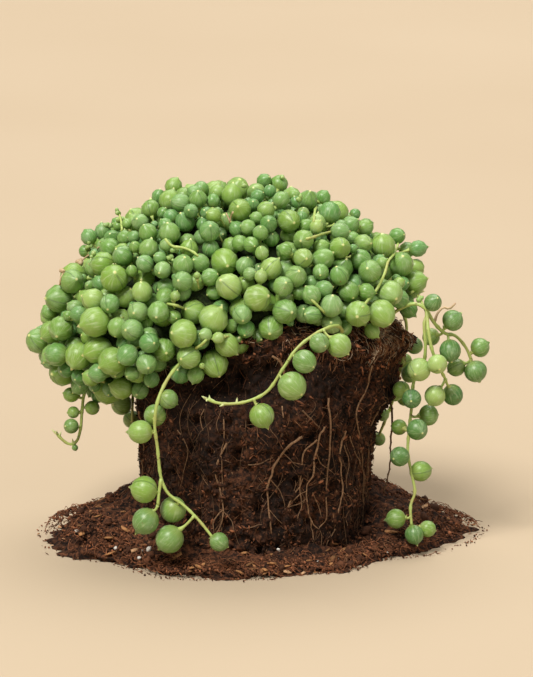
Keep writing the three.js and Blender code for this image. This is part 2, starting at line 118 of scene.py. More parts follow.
# Crown of pearls: twelve stations every 30 degrees, starting at +X and going round by +Y
CROWN_AXIS_X = -8
CROWN_TOP = 112
CROWN_REACH = [57, 56.5, 55, 54, 57, 59, 60, 56, 49, 42, 46, 53]
CROWN_LEVEL = [80, 76, 72, 70, 68, 66, 64, 65.5, 69, 73, 79, 80]
CROWN_DROP = [10, 12, 15, 18, 20, 22, 24, 21, 16, 11, 6, 7]
CROWN_HEM = [108, 112, 116, 120, 125, 131, 134, 131, 124, 116, 105, 104]
CROWN_SLOPE = 1.45
HEM_GAP = [-80, 108]

# The camera: what it looks at, how far off and how high it stands, and the picture's points per millimetre
LOOK_AT = [2.3, 0, 64.4]
CAMERA_DISTANCE = 1500
CAMERA_ELEVATION = 13
PICTURE_SCALE = 3.184
PICTURE_MIDDLE = [266.5, 338.5]

# Pearls of the crown that the camera sees, each as [across, down, radius, layer, youth, paleness] in picture
# points, where a higher layer lies further back, and for some the way their tips lean, [across, down]
SEEN_PEARLS = [
    # left side, from the top down
    [89, 237, 8, 0, 0.7, 0.1], [85, 251, 6.4, 0, 0.6, 0.1], [103, 232, 8.3, 0, 0.9, 0.3],
    [111, 231, 8, 1, 0.3, 0], [118, 226, 5, 0, 0.5, 0.2], [127, 224, 5.3, 0, 0.4, 0.2],
    [140, 222, 8, 0, 1, 0.6], [151, 209, 9.5, 1, 0.4, 0], [148, 233, 9.5, 0, 0.5, 0.1, -4, -8],
    [134, 237, 6.3, 0, 0.9, 0.3], [123, 256, 10.3, 0, 0.6, 0], [135, 247, 6, 0, 0.4, 0],
    [149, 249, 10, 0, 0.5, 0.3], [112, 238, 8, 2, 0.7, 0], [125, 238, 8, 2, 0.5, 0],
    [110, 248, 10, 2, 0.5, 0], [103, 264, 12.2, 1, 0.25, 0], [114.3, 278.6, 13.6, 0, 0.15, 0, 1, -6],
    [145, 263.6, 8.9, 0, 0.9, 0.3, -7, -6], [132, 271, 6, 1, 0.4, 0], [145, 279.5, 11.5, 1, 0.15, 0],
    [142, 292, 10.8, 0, 0.3, 0.7, -1, -10], [162.5, 270, 8.5, 0, 0.8, 0.6, -3, 3],
    [160, 258, 6.5, 0, 0.8, 0.3], [72, 281.4, 12, 0, 0.5, 0.3, 5, -2], [90, 286, 5.5, 2, 0.5, 0],
    [100, 283, 8, 1, 0.8, 0.1], [59, 298.6, 13.6, 0, 0.5, 0.1], [50, 312, 9, 1, 0.5, 0.1],
    [68, 315.7, 4.9, 0, 0.5, 0], [93.6, 300, 11, 0, 0.15, 0.7, -11, -4],
    [110, 303.6, 9.8, 0, 0.7, 0.2, -2, 6], [107, 297, 9, 1, 0.2, 0.2], [126, 297, 11, 1, 0.1, 0.4, 5, -8],
    [138, 312, 10.4, 0, 0.8, 0.7, -4, 1], [158.5, 312.2, 11.1, 0, 0.5, 0.1, -2, 5],
    [79, 314.5, 8.5, 1, 0.8, 0.1], [95, 322, 15, 0, 0.15, 0.2, -15, 4], [61, 328.8, 12.8, 0, 0.4, 0, -4, 8],
    [118, 327.5, 10.7, 0, 0.5, 0.3, -3, 10], [132, 330, 10.7, 0, 0.8, 0.5, -6, 0],
    [160, 289, 8, 1, 0.8, 0.1], [38.6, 340.7, 12.8, 0, 0.5, 0.1], [57, 354.3, 12, 0, 0.6, 0],
    [66, 369, 8.5, 1, 0.8, 0], [78.5, 356, 13.5, 0.8, 0.15, 0.1, -6, 12], [79, 377, 7.5, 1, 0.9, 0],
    [98, 350, 14, 0.5, 0.15, 0.1, -14, 5], [90, 337, 9, 2, 0.2, 0], [112.5, 361, 14, 0, 0.2, 0.1, -12, 6],
    [127.5, 355, 10.7, -0.2, 0.8, 0.2, -8, 7], [149.5, 343, 10.5, 0, 0.8, 0.1, 5, 0],
    [146.5, 363.8, 10.5, 0, 0.8, 0.4, 2, 4], [132, 373.5, 7.5, 0, 0.6, 0.2, -5, 3],
    [151.5, 379.5, 8.2, 0, 0.8, 0.2, -3, 7], [140, 390.5, 8.2, 0, 0.8, 0.3, -3, 4],
    [98, 373, 9.5, 1, 0.8, 0.2, -10, 2], [121.5, 388, 11.5, 1, 0.15, 0.2], [110, 389, 8, 2, 0.9, 0],
    [94.5, 386, 6, 2, 0.8, 0.1], [98, 396, 7, 0, 0.9, 0.1, -2, 9], [83, 384, 5.5, 1, 0.8, 0.1],
    [164, 350, 12, 2, 0.4, 0], [135, 342, 8, 2, 0.7, 0.1], [146, 323, 7, 2, 0.4, 0],
    # middle, from the top down
    [173.6, 186.4, 8.8, 0, 0.2, 0.1], [158.6, 196.4, 6.8, 0, 0.7, 0.1], [170, 201, 11, 1, 0.25, 0.2],
    [181, 203, 9, 0.5, 0.7, 0.3], [201, 189, 8, 1, 0.6, 0.1], [198, 199, 9, 0, 0.5, 0.1, 0, -8],
    [191, 211, 7.5, 0, 0.9, 0.2], [217, 193, 8, 1, 0.3, 0.3], [232, 195, 11, 1, 0.2, 0.2],
    [213, 201, 7, 2, 0.6, 0], [213.5, 215.5, 8, 0, 0.1, 0.1, -7, -3], [240, 210, 11.5, 0, 0.1, 0.1, -2, -3],
    [253, 205, 6.5, 0, 0.8, 0.2], [264, 181, 7.5, 0, 0.6, 0], [279, 184, 9, 0, 0.5, 0.1],
    [257.5, 196, 6.5, 0, 0.9, 0.1], [270, 191, 6.5, 0, 0.9, 0.1], [281, 200, 9, 0, 0.6, 0.3],
    [266, 210, 9, 0, 0.3, 0.3], [256.5, 218, 6.5, 0, 0.5, 0.1, -7, -2],
    [268.5, 224, 8.8, 0, 0.8, 0.1, 0, -3], [289, 221, 11.5, 0.5, 0.15, 0.1], [237, 229, 8, 1, 0.8, 0.2],
    [248, 227.5, 8, 0.5, 0.5, 0.2, -8, -2], [260.5, 233, 7.7, 0, 0.5, 0.1, 0, -6],
    [271, 238.5, 8, 1, 0.6, 0], [209.5, 231, 10.4, 0, 0.9, 0.3, 1, -5],
    [210.7, 248.5, 8.7, 0, 0.85, 0.2, 2, -8], [169.5, 233, 10.5, 0, 0.5, 0.2, -2, -10],
    [185, 222, 10, 0.5, 0.85, 0.2, -4, -8], [171, 217, 8, 1, 0.9, 0.1], [163, 213, 6, 1, 0.6, 0],
    [166, 245, 6.5, 0, 0.7, 0.5, 1, -5], [189, 249, 9, 2, 0.2, 0], [224.5, 262, 14, 0, 0.1, 0.1, 3, 4],
    [231, 246, 9, 2, 0.3, 0], [240, 243, 8, 0.5, 0.5, 0.1], [251, 244.5, 8, 0, 0.5, 0.1],
    [261.8, 253, 7.2, 0, 0.4, 0.4], [285, 250, 7, 0, 0.5, 0, -7, -4], [245, 266, 9.5, 0, 0.9, 0.5, 3, -9],
    [250, 274, 7, 0, 0.9, 0.6], [271, 268.5, 11, 0, 0.15, 0.6, 8, -10],
    [261, 276.5, 6.5, -0.2, 0, 0.9, 1, -9], [229, 286.5, 13.7, 0, 0.15, 0.9, -8, -6],
    [210, 277, 8.8, 0.5, 0.6, 0.1, 8, -3], [183, 265, 10.5, 0, 0.6, 0.3], [200, 263, 9.5, 0.5, 0.6, 0.2],
    [197, 275.5, 3.5, 0, 0.2, 0.5, 0, -5], [182.5, 281.5, 10.2, 0, 0.8, 0.4, -4, -1],
    [166, 288, 10, 1, 0.6, 0.1], [283, 286.5, 10.3, 0, 0.6, 0.4, 3, -4],
    [175.3, 296, 5.2, 0, 0.3, 0.5, 2, -5], [165, 297, 9.3, 0.6, 0.5, 0.1],
    [197, 296.4, 9.3, 1, 0.6, 0, 5, 2], [214, 292, 8, 2, 0.5, 0], [257, 298, 13.2, 0, 0.15, 0.4, 11, -2],
    [266, 303, 11, 1, 0.3, 0], [285, 311.5, 12.5, 1, 0.5, 0], [193.6, 312, 12.5, 0.5, 0.2, 0.3, -8, -3],
    [213.6, 319, 15, 0, 0.2, 0.5, 8, -12], [174, 317, 7, 2, 0.4, 0], [242, 314.5, 9.7, 0, 0.9, 0.5, 1, 6],
    [246, 329, 9, 1, 0.7, 0], [231, 326, 7, 1.5, 0.5, 0.1], [271, 328, 12, 1.5, 0.4, 0],
    [183.5, 333.6, 13.9, 0, 0.2, 0.3, -12, -1], [205.3, 334.7, 6.9, 0, 1, 0.8],
    [218.3, 337.9, 6, -0.2, 0, 0.8, -7, 1], [227, 345, 12.1, 0.3, 0.15, 0.3, 10, 9],
    [188.6, 357, 12.3, -0.2, 0.4, 0.4, -8, 2], [214.5, 363.5, 14, 0.3, 0.2, 0.1, 5, 13],
    [195.7, 375, 8.2, -0.3, 0.6, 0.2, -3, 9], [202, 365.7, 3, -0.4, 0.1, 0.7], [180.5, 373, 10.5, 1, 0.9, 0],
    # right side, from the top down
    [294, 195, 6, 0, 0.4, 0.2], [296, 202, 6, 0.5, 0.8, 0.1], [308.6, 200, 9, 0, 0.5, 0.1],
    [323, 197.5, 7.3, 0, 0.6, 0], [329.5, 213, 11, 0, 0.7, 0], [302, 217, 6, 1, 0.8, 0.1],
    [306, 226, 7.5, 1, 0.5, 0.1], [316.4, 226.5, 6.9, 0, 0, 0.9, 4, -6], [340, 231.4, 9, 0, 0.8, 0.4, 9, 0],
    [350, 225, 9.3, 0.5, 0.6, 0.1], [355, 214, 5.5, 1, 0.9, 0.1], [365, 227.5, 8.5, 0.5, 0.4, 0.1],
    [352, 239, 8, 0.5, 0.6, 0.3], [363, 243, 9, 0.4, 0.4, 0.4], [382.9, 245.7, 12, 0, 0.2, 0.3, -1, -12],
    [397, 236, 8.3, 0, 0.6, 0], [417.9, 248.6, 8.5, 0, 0.8, 0.1], [407, 250, 8, 1, 0.7, 0.4],
    [401.5, 264.3, 12, 0, 0.5, 0.2, 1, -8], [416, 267, 8, 1, 0.1, 0.5], [415, 282, 11.8, 0.5, 0.3, 0.2],
    [390, 293, 12.8, 0, 0.4, 0.6, 6, 6], [303.6, 240, 10.3, 0, 0.4, 0.2, -3, 1],
    [302.9, 258, 9.5, 0, 0.3, 0.6], [288, 236, 8, 1.5, 0.3, 0.1], [321, 238, 6, 1, 0.8, 0.1],
    [321, 247, 8, 0.4, 0.4, 0.2], [323, 259, 11, 0.3, 0.5, 0.1], [340, 248, 10.8, 0.4, 0.2, 0.1, 3, -3],
    [353, 248.5, 4.5, 0.4, 0.8, 0.1], [360.7, 260, 11, 1.5, 0.6, 0], [370, 271.4, 11.5, 0, 0.5, 0.2, -3, -3],
    [382, 263, 6, 0.3, 0.4, 0.2], [339.3, 275.7, 10, 0, 0.6, 0.1, -3, -9], [320.7, 272, 8.2, 0.2, 0.6, 0.2],
    [295.7, 276.4, 11, 0, 0.6, 0.5], [306, 272, 6.5, 0.5, 0.8, 0.2], [312, 283, 8.5, 0.3, 0.9, 0.3],
    [323.5, 289, 8.8, 0.2, 0.8, 0.3, 9, -2], [348.6, 291.4, 10.3, 0.2, 0.5, 0],
    [311.4, 295, 9.5, 0, 0.6, 0.2, -6, -9], [299, 293, 7, 1.5, 0.5, 0], [312, 315, 9, 0.2, 0.6, 0.1, -7, -1],
    [331.4, 306, 11.3, 0, 0.9, 0.6, 1, -10], [331.9, 323.6, 10.3, -0.2, 0.9, 0.8, -1, -1],
    [344, 328, 8, 1, 0.6, 0], [357.9, 313.6, 12.6, 0, 0.2, 0.2, -1, 3],
    [381.4, 313.6, 13.5, 0, 0.1, 0.3, 8, 10], [372, 331, 8, 1.5, 0.4, 0.2], [408.6, 309.3, 8.9, 0.5, 0.6, 0],
    [366, 292, 9, 1.5, 0.5, 0], [399, 283, 6, 0.6, 0.1, 0.4],
]

# Stems that show on them, as routes of [across, down, how far they stand out of the pearls in mm]
SEEN_STEMS = [
    [[166, 240, 0], [172, 246, 0.6], [184, 248, 0.8], [193, 252, 0.6], [198, 256, 0.2]],
    [[306, 239, 0], [314, 237, 0.4], [322, 234, 0.4], [330, 232, 0]],
    [[314, 222, 0], [314.5, 214, 0.6], [316, 208, 0.6], [321, 205, 0]],
    [[362, 308, 0], [368, 300, 0.5], [377, 289, 0.6], [384, 275, 0.6], [388, 262, 0.6], [394, 254, 0.5],
     [398, 244, 0]],
    [[168, 304, 0], [175, 305, 0.4], [183, 308, 0.2]],
    [[312, 300, 0], [318, 306, 0.4], [324, 312, 0]],
    [[196, 348, 0], [201, 345, 0.5], [206, 340, 0.4]],
    [[418, 296, 0], [422, 303, 0.5], [426, 312, 0]],
]
FREE_STEM = [[122, 230, 0], [121, 221, 0.3], [119, 213, 0.5]]

# Dry twigs and sepals, as routes like the stems, and clusters of tiny buds as [across, down, out, count,
# dryness]
DRY_TWIGS = [
    [[80, 262, 0], [86, 257, 0.3], [94, 252, 0.4], [99, 247, 0.3]],
    [[60, 284, 0], [61, 277, 0.2], [65, 271, 0.3]],
    [[230, 222, 0], [228, 217, 0.6], [226, 213, 1.4]],
    [[230, 222, 0], [231, 216, 0.6], [233, 212, 1.4]],
]
HUSK = [[54.4, -14.6, 72.8], [55.6, -12.8, 75.6], [57.4, -12.2, 77.2], [59.2, -12.4, 76.8],
        [61, -12.6, 78.6]]
BUDS = [
    [121, 221, 0.3, 7, 0], [118, 213, 0.5, 4, 0], [90, 245, 0.2, 7, 0], [94, 255, 0.2, 5, 0.3],
    [80, 262, 0.2, 4, 0.9], [62, 271, 0.2, 4, 0.8], [175, 249, 0.5, 4, 0.1], [243, 186, 0, 3, 0],
    [283, 178, 0, 5, 0], [170, 259, 0.2, 3, 0], [420, 300, 0.2, 3, 0.2], [300, 200, 0, 3, 0],
    [108, 226, 0.2, 3, 0],
]

# Trailing strands: each branch is a route of [x, y, z], each pearl is [x, y, z, radius], and for some also
# its youth and paleness; on the right strand, high youth with no paleness is painted shade on pearls that
# lie in shade.
STEM_RADIUS = 0.54
STRANDS = {
    "strand_front_left": {
        "branches": [
            [[-17, -24, 59], [-19, -29, 64], [-22, -35, 66], [-25, -40.5, 65], [-28.2, -45, 61.5],
             [-30.8, -48, 56], [-31.8, -48, 49], [-31, -47, 41], [-29.9, -46, 31], [-27.9, -46, 26.4],
             [-23.2, -46.5, 22.8], [-18.5, -48, 18.4], [-13.9, -49.5, 12.9]],
            [[-29.9, -46, 31], [-30.6, -46.5, 27], [-31, -47, 22.8]],
        ],
        "pearls": [
            [-27.6, -46, 56, 3], [-31.8, -43.8, 50.4, 3.4], [-36.2, -47, 46, 3.6], [-35.2, -45.8, 27.5, 4.2],
            [-34.8, -47.5, 17.9, 4.2], [-26.4, -42.6, 20.3, 4.1], [-27.4, -47, 12.1, 4.4],
            [-12.2, -50, 12, 3.1],
        ],
    },
    "strand_front": {
        "branches": [
            [[25, -22, 60], [26, -28, 70], [24.5, -36, 76.5], [20, -44, 77.5], [15, -48, 75.4],
             [11.2, -50, 72.4], [7.4, -51, 66.9], [2.4, -51, 59.6], [-3.5, -51, 56.6], [-9.5, -50.3, 55.6],
             [-13.2, -50, 56], [-15.8, -50, 57]],
        ],
        "pearls": [
            [18.3, -52, 75, 3.1], [24.4, -48.5, 73.4, 3.7], [13.8, -54.4, 69.8, 3.6],
            [10.1, -55.6, 62.4, 4.5], [0.9, -51.5, 52.2, 4],
        ],
    },
    "strand_right": {
        "branches": [
            [[33, -10, 60], [37, -11.5, 70], [43, -13.5, 76.5], [48.5, -15.5, 79], [52, -16, 77],
             [51.2, -18, 73], [51.6, -18.5, 66], [51, -17, 60], [48.2, -16, 54.5], [47.6, -16, 47],
             [46.8, -16, 39], [46.4, -17, 32], [47.4, -18, 26], [48.6, -19, 19.5], [47.3, -20, 15.5],
             [47.6, -21.5, 9.5]],
            [[52, -16, 77], [52.4, -20, 71.5], [53.6, -20.5, 65.5], [55.6, -18.5, 60.2], [58, -15.5, 55]],
            [[52, -16, 77], [54.6, -15, 72.6], [58, -13, 69], [61, -11.5, 68], [64.4, -10, 64],
             [66.2, -10, 60]],
        ],
        "pearls": [
            # Pearls here with high youth and no paleness are darkened: painted shade
            [49.6, -20.8, 59.3, 3.6, 0.1, 0.95], [47.8, -12.4, 57, 2.6, 1, 0],
            [47.4, -20, 49.8, 3.1, 0.95, 0], [44.4, -11.4, 50.6, 2.8], [52.9, -14, 43.1, 3.3],
            [43.8, -12, 38.7, 2.5], [49.2, -20.6, 40.1, 3.4, 0.7, 0], [43.8, -20.4, 31.4, 3.1, 0.7, 0],
            [50.6, -16.6, 25.7, 3.4, 0.3, 0.2], [42.7, -20.6, 11.4, 3.1, 0.4, 0.1],
            [48.4, -23, 6.9, 3.1, 0.7, 0], [52.6, -20.5, 8.1, 2.6], [55.2, -23, 61.6, 3.1, 0, 1],
            [54.7, -18.4, 50.4, 3.3, 0.1, 0.9], [60.4, -13, 49.4, 3.3, 0.8, 0], [53.8, -19, 80.2, 2.8],
            [60.2, -14, 73.4, 3.4], [59.4, -15.6, 64.1, 3.5, 0.75, 0], [61.6, -9, 57.2, 2.9],
            [69, -9, 63.6, 3.1], [67.6, -11, 56.4, 3.6], [53.6, -10.5, 67.3, 2.8],
        ],
    },
    "strand_left": {
        "branches": [
            [[-31, -6, 59], [-35, -6.5, 69.5], [-43, -7, 71], [-49.5, -7.5, 64], [-52.5, -8, 55],
             [-54.8, -8, 48.5], [-55.6, -8, 42], [-56, -8, 37.5], [-57.4, -8, 33], [-59.4, -8.1, 32.2],
             [-61.6, -8.3, 33.6], [-63.4, -8.5, 35.6]],
        ],
        "pearls": [
            [-58.8, -9, 48.4, 2.4], [-52.2, -10.5, 44.6, 2.3], [-58.2, -8.4, 42.6, 1.9],
            [-58.8, -11, 38.8, 2.3], [-57.8, -8.6, 31.2, 1],
        ],
    },
    "strand_back_right": {
        "branches": [
            [[29, 14, 60], [33, 16, 70], [41, 19.5, 72], [46.4, 21.5, 66], [46.4, 21.5, 56],
             [44.5, 22, 47], [43.2, 25.5, 39.5], [41, 29, 32], [38.8, 31, 26]],
        ],
        "pearls": [
            [49.4, 20, 57.4, 2.8], [48, 18.6, 48.6, 2.9], [46.4, 26, 51, 2.5], [43.4, 19.4, 42, 2.5],
            [46.6, 27.4, 38.4, 2.5], [39.6, 25.6, 33.4, 2.1], [38.6, 32.4, 23.6, 2.1],
        ],
    },
}
BRACT_SHARES = {
    "strand_front": [0.79, 0.81, 0.88, 0.93, 0.965, 0.985, 0.995, 1, 1],
    "strand_left": [0.87, 0.9, 0.93, 0.96, 0.98, 1, 1],
}
HANGING_SEED = 4127
HANGING = [
    {"name": "strand_back_1", "azimuth": 66, "foot": 17, "drift": 6},
    {"name": "strand_back_2", "azimuth": 105, "foot": 10, "drift": -5},
    {"name": "strand_back_3", "azimuth": 142, "foot": 27, "drift": 6},
]
HANGING_BEND = [[30, 59], [33.5, 70], [40, 72], [46.5, 67]]
HANGING_RADIUS = 48
HANGING_START = 57
HANGING_STEP = 8
HANGING_PEARL_STEP = 7.6


# Shapes

def bell(distance, width):
    """1 at zero, fading over the given width as e to minus the square."""
    return np.exp(-((distance / width) ** 2))


def eased(share):
    """A share from 0 to 1 that starts and ends gently: 3 s squared minus 2 s cubed."""
    share = np.clip(share, 0, 1)
    return share * share * (3 - 2 * share)


def between(low, high, share):
    """The value at a share of the way from low to high: low plus that share of their difference."""
    return low + (high - low) * share


def azimuth_of(points):
    """The azimuth of each point: the angle whose tangent is y over x."""
    return np.degrees(np.arctan2(points[..., 1], points[..., 0]))


def turn_from(middle, azimuth):
    """How far an azimuth is turned from a middle one, between -180 and 180 degrees."""
    return np.mod(azimuth - middle + 180, 360) - 180


def round_stations(stations, azimuth):
    """A smooth value at an azimuth, from stations evenly round the circle, blended by half a cosine."""
    values = np.asarray(stations, float)
    place = np.mod(azimuth, 360) / 360 * len(values)
    before = np.floor(place).astype(int) % len(values)
    share = (1 - np.cos((place - np.floor(place)) * np.pi)) / 2
    return between(values[before], values[(before + 1) % len(values)], share)


def dent(shape, azimuth, height):
    """How far a shape reaches at a place on the wall: its reach, times a bell round the ball, times a bell
    up the wall."""
    turn = turn_from(shape["azimuth"], azimuth)
    return shape["reach"] * bell(turn, shape["spread"]) * bell(height - shape["height"], shape["depth"])


def wall_radius(azimuth, height):
    """The root ball's radius: a straight-line profile of height, three gentle waves, a lip and hollows."""
    a = np.radians(azimuth)
    profile = np.array(BALL_WALL, float)
    plain = np.interp(height, profile[:, 0], profile[:, 1])
    waves = 0.7 * np.sin(3 * a + 1) + 0.5 * np.sin(5 * a - 0.7 + height / 30)
    waves = waves + 0.35 * np.sin(8 * a + height / 9)
    proud = sum(dent(shape, azimuth, height) for shape in (LIP, LEDGE))
    hollows = sum(dent(shape, azimuth, height) for shape in (HOLLOW, FOOT_RECESS, SIDE_HOLLOW))
    return plain + waves + proud - hollows


def soil_top(share, azimuth):
    """The height of the soil's mounded top at a share of the way from the axis to the rim: a parabola, and a
    wave that grows towards the rim."""
    return BALL_TOP + BALL_MOUND * (1 - share ** 2) + 0.8 * share * np.sin(4 * np.radians(azimuth) + 0.6)


def raised(azimuth, height):
    """Heights with the rim in front lifted: a bell round the ball, times an eased share of the height."""
    turn = turn_from(RIM_RISE["azimuth"], azimuth)
    share = eased((height - RIM_RISE["from"]) / (BALL_TOP - RIM_RISE["from"]))
    return height + RIM_RISE["reach"] * bell(turn, RIM_RISE["spread"]) * share


def round_place(azimuth, radius, height):
    """Points at an azimuth and a height: the radius times the azimuth's cosine, and times its sine."""
    a = np.radians(azimuth)
    place = np.broadcast_arrays(radius * np.cos(a), radius * np.sin(a), height)
    return np.stack(place, axis=-1).astype(float)


def crown_place(azimuth, psi, depth):
    """Points of the dome, psi degrees down from its top: reach times sin psi outwards, and above the widest
    level a rise of cos psi to the power of the slope; depth moves them towards the dome's middle."""
    reach = round_stations(CROWN_REACH, azimuth)
    level = round_stations(CROWN_LEVEL, azimuth)
    fall = np.cos(np.radians(psi))
    rise = (CROWN_TOP - level) * np.abs(fall) ** CROWN_SLOPE
    height = level + np.where(fall < 0, round_stations(CROWN_DROP, azimuth) * fall, rise)
    point = round_place(azimuth, reach * np.sin(np.radians(psi)), height)
    middle = np.zeros_like(point)
    middle[..., 2] = level
    point += unit(middle - point) * np.asarray(depth, float)[..., None]
    point[..., 0] += CROWN_AXIS_X
    return point


def unit(vectors):
    """Vectors divided by their lengths."""
    return vectors / np.maximum(np.linalg.norm(vectors, axis=-1, keepdims=True), 1e-9)


NOISE_SIDE = 48


def lumps(points, cell, seed):
    """Smooth noise from -1 to 1: random values at the corners of a lattice with this cell, blended in each
    axis by an eased line."""
    table = np.random.default_rng(seed).uniform(-1, 1, (NOISE_SIDE,) * 3)
    place = points / np.asarray(cell, float)
    low = np.floor(place).astype(int)
    share = eased(place - low)
    total = np.zeros(points.shape[:-1])
    for corner in np.ndindex(2, 2, 2):
        at = (low + corner) % NOISE_SIDE
        weight = np.prod(np.where(np.array(corner) == 1, share, 1 - share), axis=-1)
        total += weight * table[at[..., 0], at[..., 1], at[..., 2]]
    return total


def swells(points, waves):
    """Noise of several sizes added up, each wave as (reach, cell, seed)."""
    return sum(reach * lumps(points, cell, seed) for reach, cell, seed in waves)


def shaken(paths, *waves):
    """Paths moved along each axis by noise of its own, each wave as (reach, cell, first axis's seed)."""
    own = [[(reach, cell, seed + axis) for reach, cell, seed in waves] for axis in range(3)]
    return paths + np.stack([swells(paths, waves) for waves in own], axis=-1)


def smooth_route(route, count):
    """Evenly spaced points on the centripetal Catmull-Rom curve through a route: on each span a cubic whose
    end slopes come from the neighbouring points, with spans timed by the root of their lengths."""
    points = np.array(route, float)
    full = np.vstack([2 * points[0] - points[1], points, 2 * points[-1] - points[-2]])
    span = np.sqrt(np.linalg.norm(np.diff(full, axis=0), axis=1))[:, None]
    p0, p1, p2, p3 = full[:-3], full[1:-2], full[2:-1], full[3:]
    t0, t1, t2 = span[:-2], span[1:-1], span[2:]
    slope1 = ((p1 - p0) / t0 - (p2 - p0) / (t0 + t1) + (p2 - p1) / t1) * t1
    slope2 = ((p2 - p1) / t1 - (p3 - p1) / (t1 + t2) + (p3 - p2) / t2) * t1
    t = np.linspace(0, 1, 24, endpoint=False)[None, :, None]
    curve = (p1[:, None] * (2 * t ** 3 - 3 * t ** 2 + 1) + slope1[:, None] * (t ** 3 - 2 * t ** 2 + t)
             + p2[:, None] * (3 * t ** 2 - 2 * t ** 3) + slope2[:, None] * (t ** 3 - t ** 2))
    curve = np.vstack([curve.reshape(-1, 3), points[-1]])
    along = np.concatenate([[0], np.cumsum(np.linalg.norm(np.diff(curve, axis=0), axis=1))])
    wanted = np.linspace(0, along[-1], count)
    return np.stack([np.interp(wanted, along, curve[:, i]) for i in range(3)], axis=1)


def frames_on(direction, spin):
    """Turns that carry +Z to each direction, with a spin in radians about it, as matrices of column axes."""
    direction = unit(direction)
    helper = np.where(np.abs(direction[..., 2:]) < 0.9, [0.0, 0.0, 1.0], [1.0, 0.0, 0.0])
    side = unit(np.cross(helper, direction))
    other = np.cross(direction, side)
    c, s = np.cos(spin)[..., None], np.sin(spin)[..., None]
    return np.stack([side * c + other * s, other * c - side * s, direction], axis=-1)


class Surface:
    """Points with four-sided and three-sided faces, and marks on each point: its tone, its paleness and its
    place on its piece."""

    def __init__(self, points, quads, tris, tone, place=None, pale=0.0):
        self.points = points.reshape(-1, 3)
        self.quads = np.asarray(quads, int).reshape(-1, 4)
        self.tris = np.asarray(tris, int).reshape(-1, 3)
        self.tone = np.broadcast_to(np.asarray(tone, float), len(self.points)).copy()
        self.pale = np.broadcast_to(np.asarray(pale, float), len(self.points)).copy()
        self.place = np.zeros((len(self.points), 3)) if place is None else place.reshape(-1, 3)

    def outward(self):
        """Turns the faces over where the volume they enclose comes out negative."""
        p = self.points
        q, t = self.quads, self.tris
        corners = np.vstack([t, q[:, [0, 1, 2]], q[:, [0, 2, 3]]])
        volume = np.einsum("ij,ij->", p[corners[:, 0]], np.cross(p[corners[:, 1]], p[corners[:, 2]]))
        if volume < 0:
            self.quads, self.tris = q[:, ::-1], t[:, ::-1]
        return self


def joined(surfaces):
    """Several surfaces as one."""
    starts = np.cumsum([0] + [len(s.points) for s in surfaces])
    return Surface(
        np.vstack([s.points for s in surfaces]),
        np.vstack([s.quads + start for s, start in zip(surfaces, starts)]),
        np.vstack([s.tris + start for s, start in zip(surfaces, starts)]),
        np.concatenate([s.tone for s in surfaces]),
        np.vstack([s.place for s in surfaces]),
        np.concatenate([s.pale for s in surfaces]),
    )


def capped_faces(count, steps):
    """Faces of a tube of rings: four-sided ones between the rings, and three-sided ones at both ends, to a
    first and a last point that are numbered after the rings' points."""
    at = np.arange(count * steps).reshape(count, steps)
    after = np.roll(at, -1, axis=1)
    quads = np.stack([at[:-1], after[:-1], after[1:], at[1:]], axis=-1).reshape(-1, 4)
    first, last = np.full(steps, count * steps), np.full(steps, count * steps + 1)
    ends = [np.stack([after[0], at[0], first], axis=-1), np.stack([at[-1], after[-1], last], axis=-1)]
    return quads, np.vstack(ends)


def polar_surface(rings, first, last, tone=0.5):
    """A closed surface from rings of points, [ring, step, xyz], with a single point at each end."""
    points = np.vstack([rings.reshape(-1, 3), first, last])
    return Surface(points, *capped_faces(*rings.shape[:2]), tone).outward()


def round_template(sides, angles):
    """A ball of radius 1 about Z: rings at these angles up from its foot, each a circle of sin by cos."""
    up = np.radians(np.array(angles, float))[:, None]
    turn = np.linspace(0, 2 * np.pi, sides, endpoint=False)[None, :]
    place = np.broadcast_arrays(np.sin(up) * np.cos(turn), np.sin(up) * np.sin(turn), -np.cos(up))
    return polar_surface(np.stack(place, axis=-1), [[0, 0, -1]], [[0, 0, 1]])


def repeated(template, points, centres, tone, place=None, pale=0.0):
    """A template's faces on many copies of its points, [copy, point, xyz], each about its own centre."""
    size = len(template.points)
    points = points + centres[:, None, :]
    count = len(points)
    start = np.arange(count)[:, None, None] * size
    tones = np.repeat(np.broadcast_to(tone, count), size)
    where = template.points if place is None else place
    places = np.broadcast_to(where, (count, size, 3))
    pales = np.repeat(np.broadcast_to(pale, count), size)
    return Surface(points, template.quads + start, template.tris + start, tones, places, pales)


def tubes(paths, radii, sides, tone=0.5):
    """Round tubes along paths, [tube, station, xyz]: at each station a ring in the plane square to the path,
    whose first side is the cross product of the path's direction with the path's flattest axis."""
    paths = np.asarray(paths, float)
    count, stations = paths.shape[:2]
    radii = np.broadcast_to(np.asarray(radii, float), (count, stations))
    along = unit(np.gradient(paths, axis=1))
    centred = paths - paths.mean(axis=1, keepdims=True)
    flattest = np.linalg.svd(centred, full_matrices=False)[2][:, 2, :]
    side = unit(np.cross(along, flattest[:, None, :]))
    other = np.cross(along, side)
    turn = np.linspace(0, 2 * np.pi, sides, endpoint=False)
    c, s = np.cos(turn)[None, None, :, None], np.sin(turn)[None, None, :, None]
    rings = paths[:, :, None] + radii[:, :, None, None] * (side[:, :, None] * c + other[:, :, None] * s)
    body = rings.reshape(count, stations * sides, 3)
    points = np.concatenate([body, paths[:, :1], paths[:, -1:]], axis=1)
    quads, tris = capped_faces(stations, sides)
    size = points.shape[1]
    start = np.arange(count)[:, None, None] * size
    place = np.zeros((count, size, 3))
    place[..., 2] = np.concatenate([np.repeat(np.linspace(0, 1, stations), sides), [0, 1]])
    tones = np.repeat(np.broadcast_to(tone, count), size)
    return Surface(points, quads + start, tris + start, tones, place)


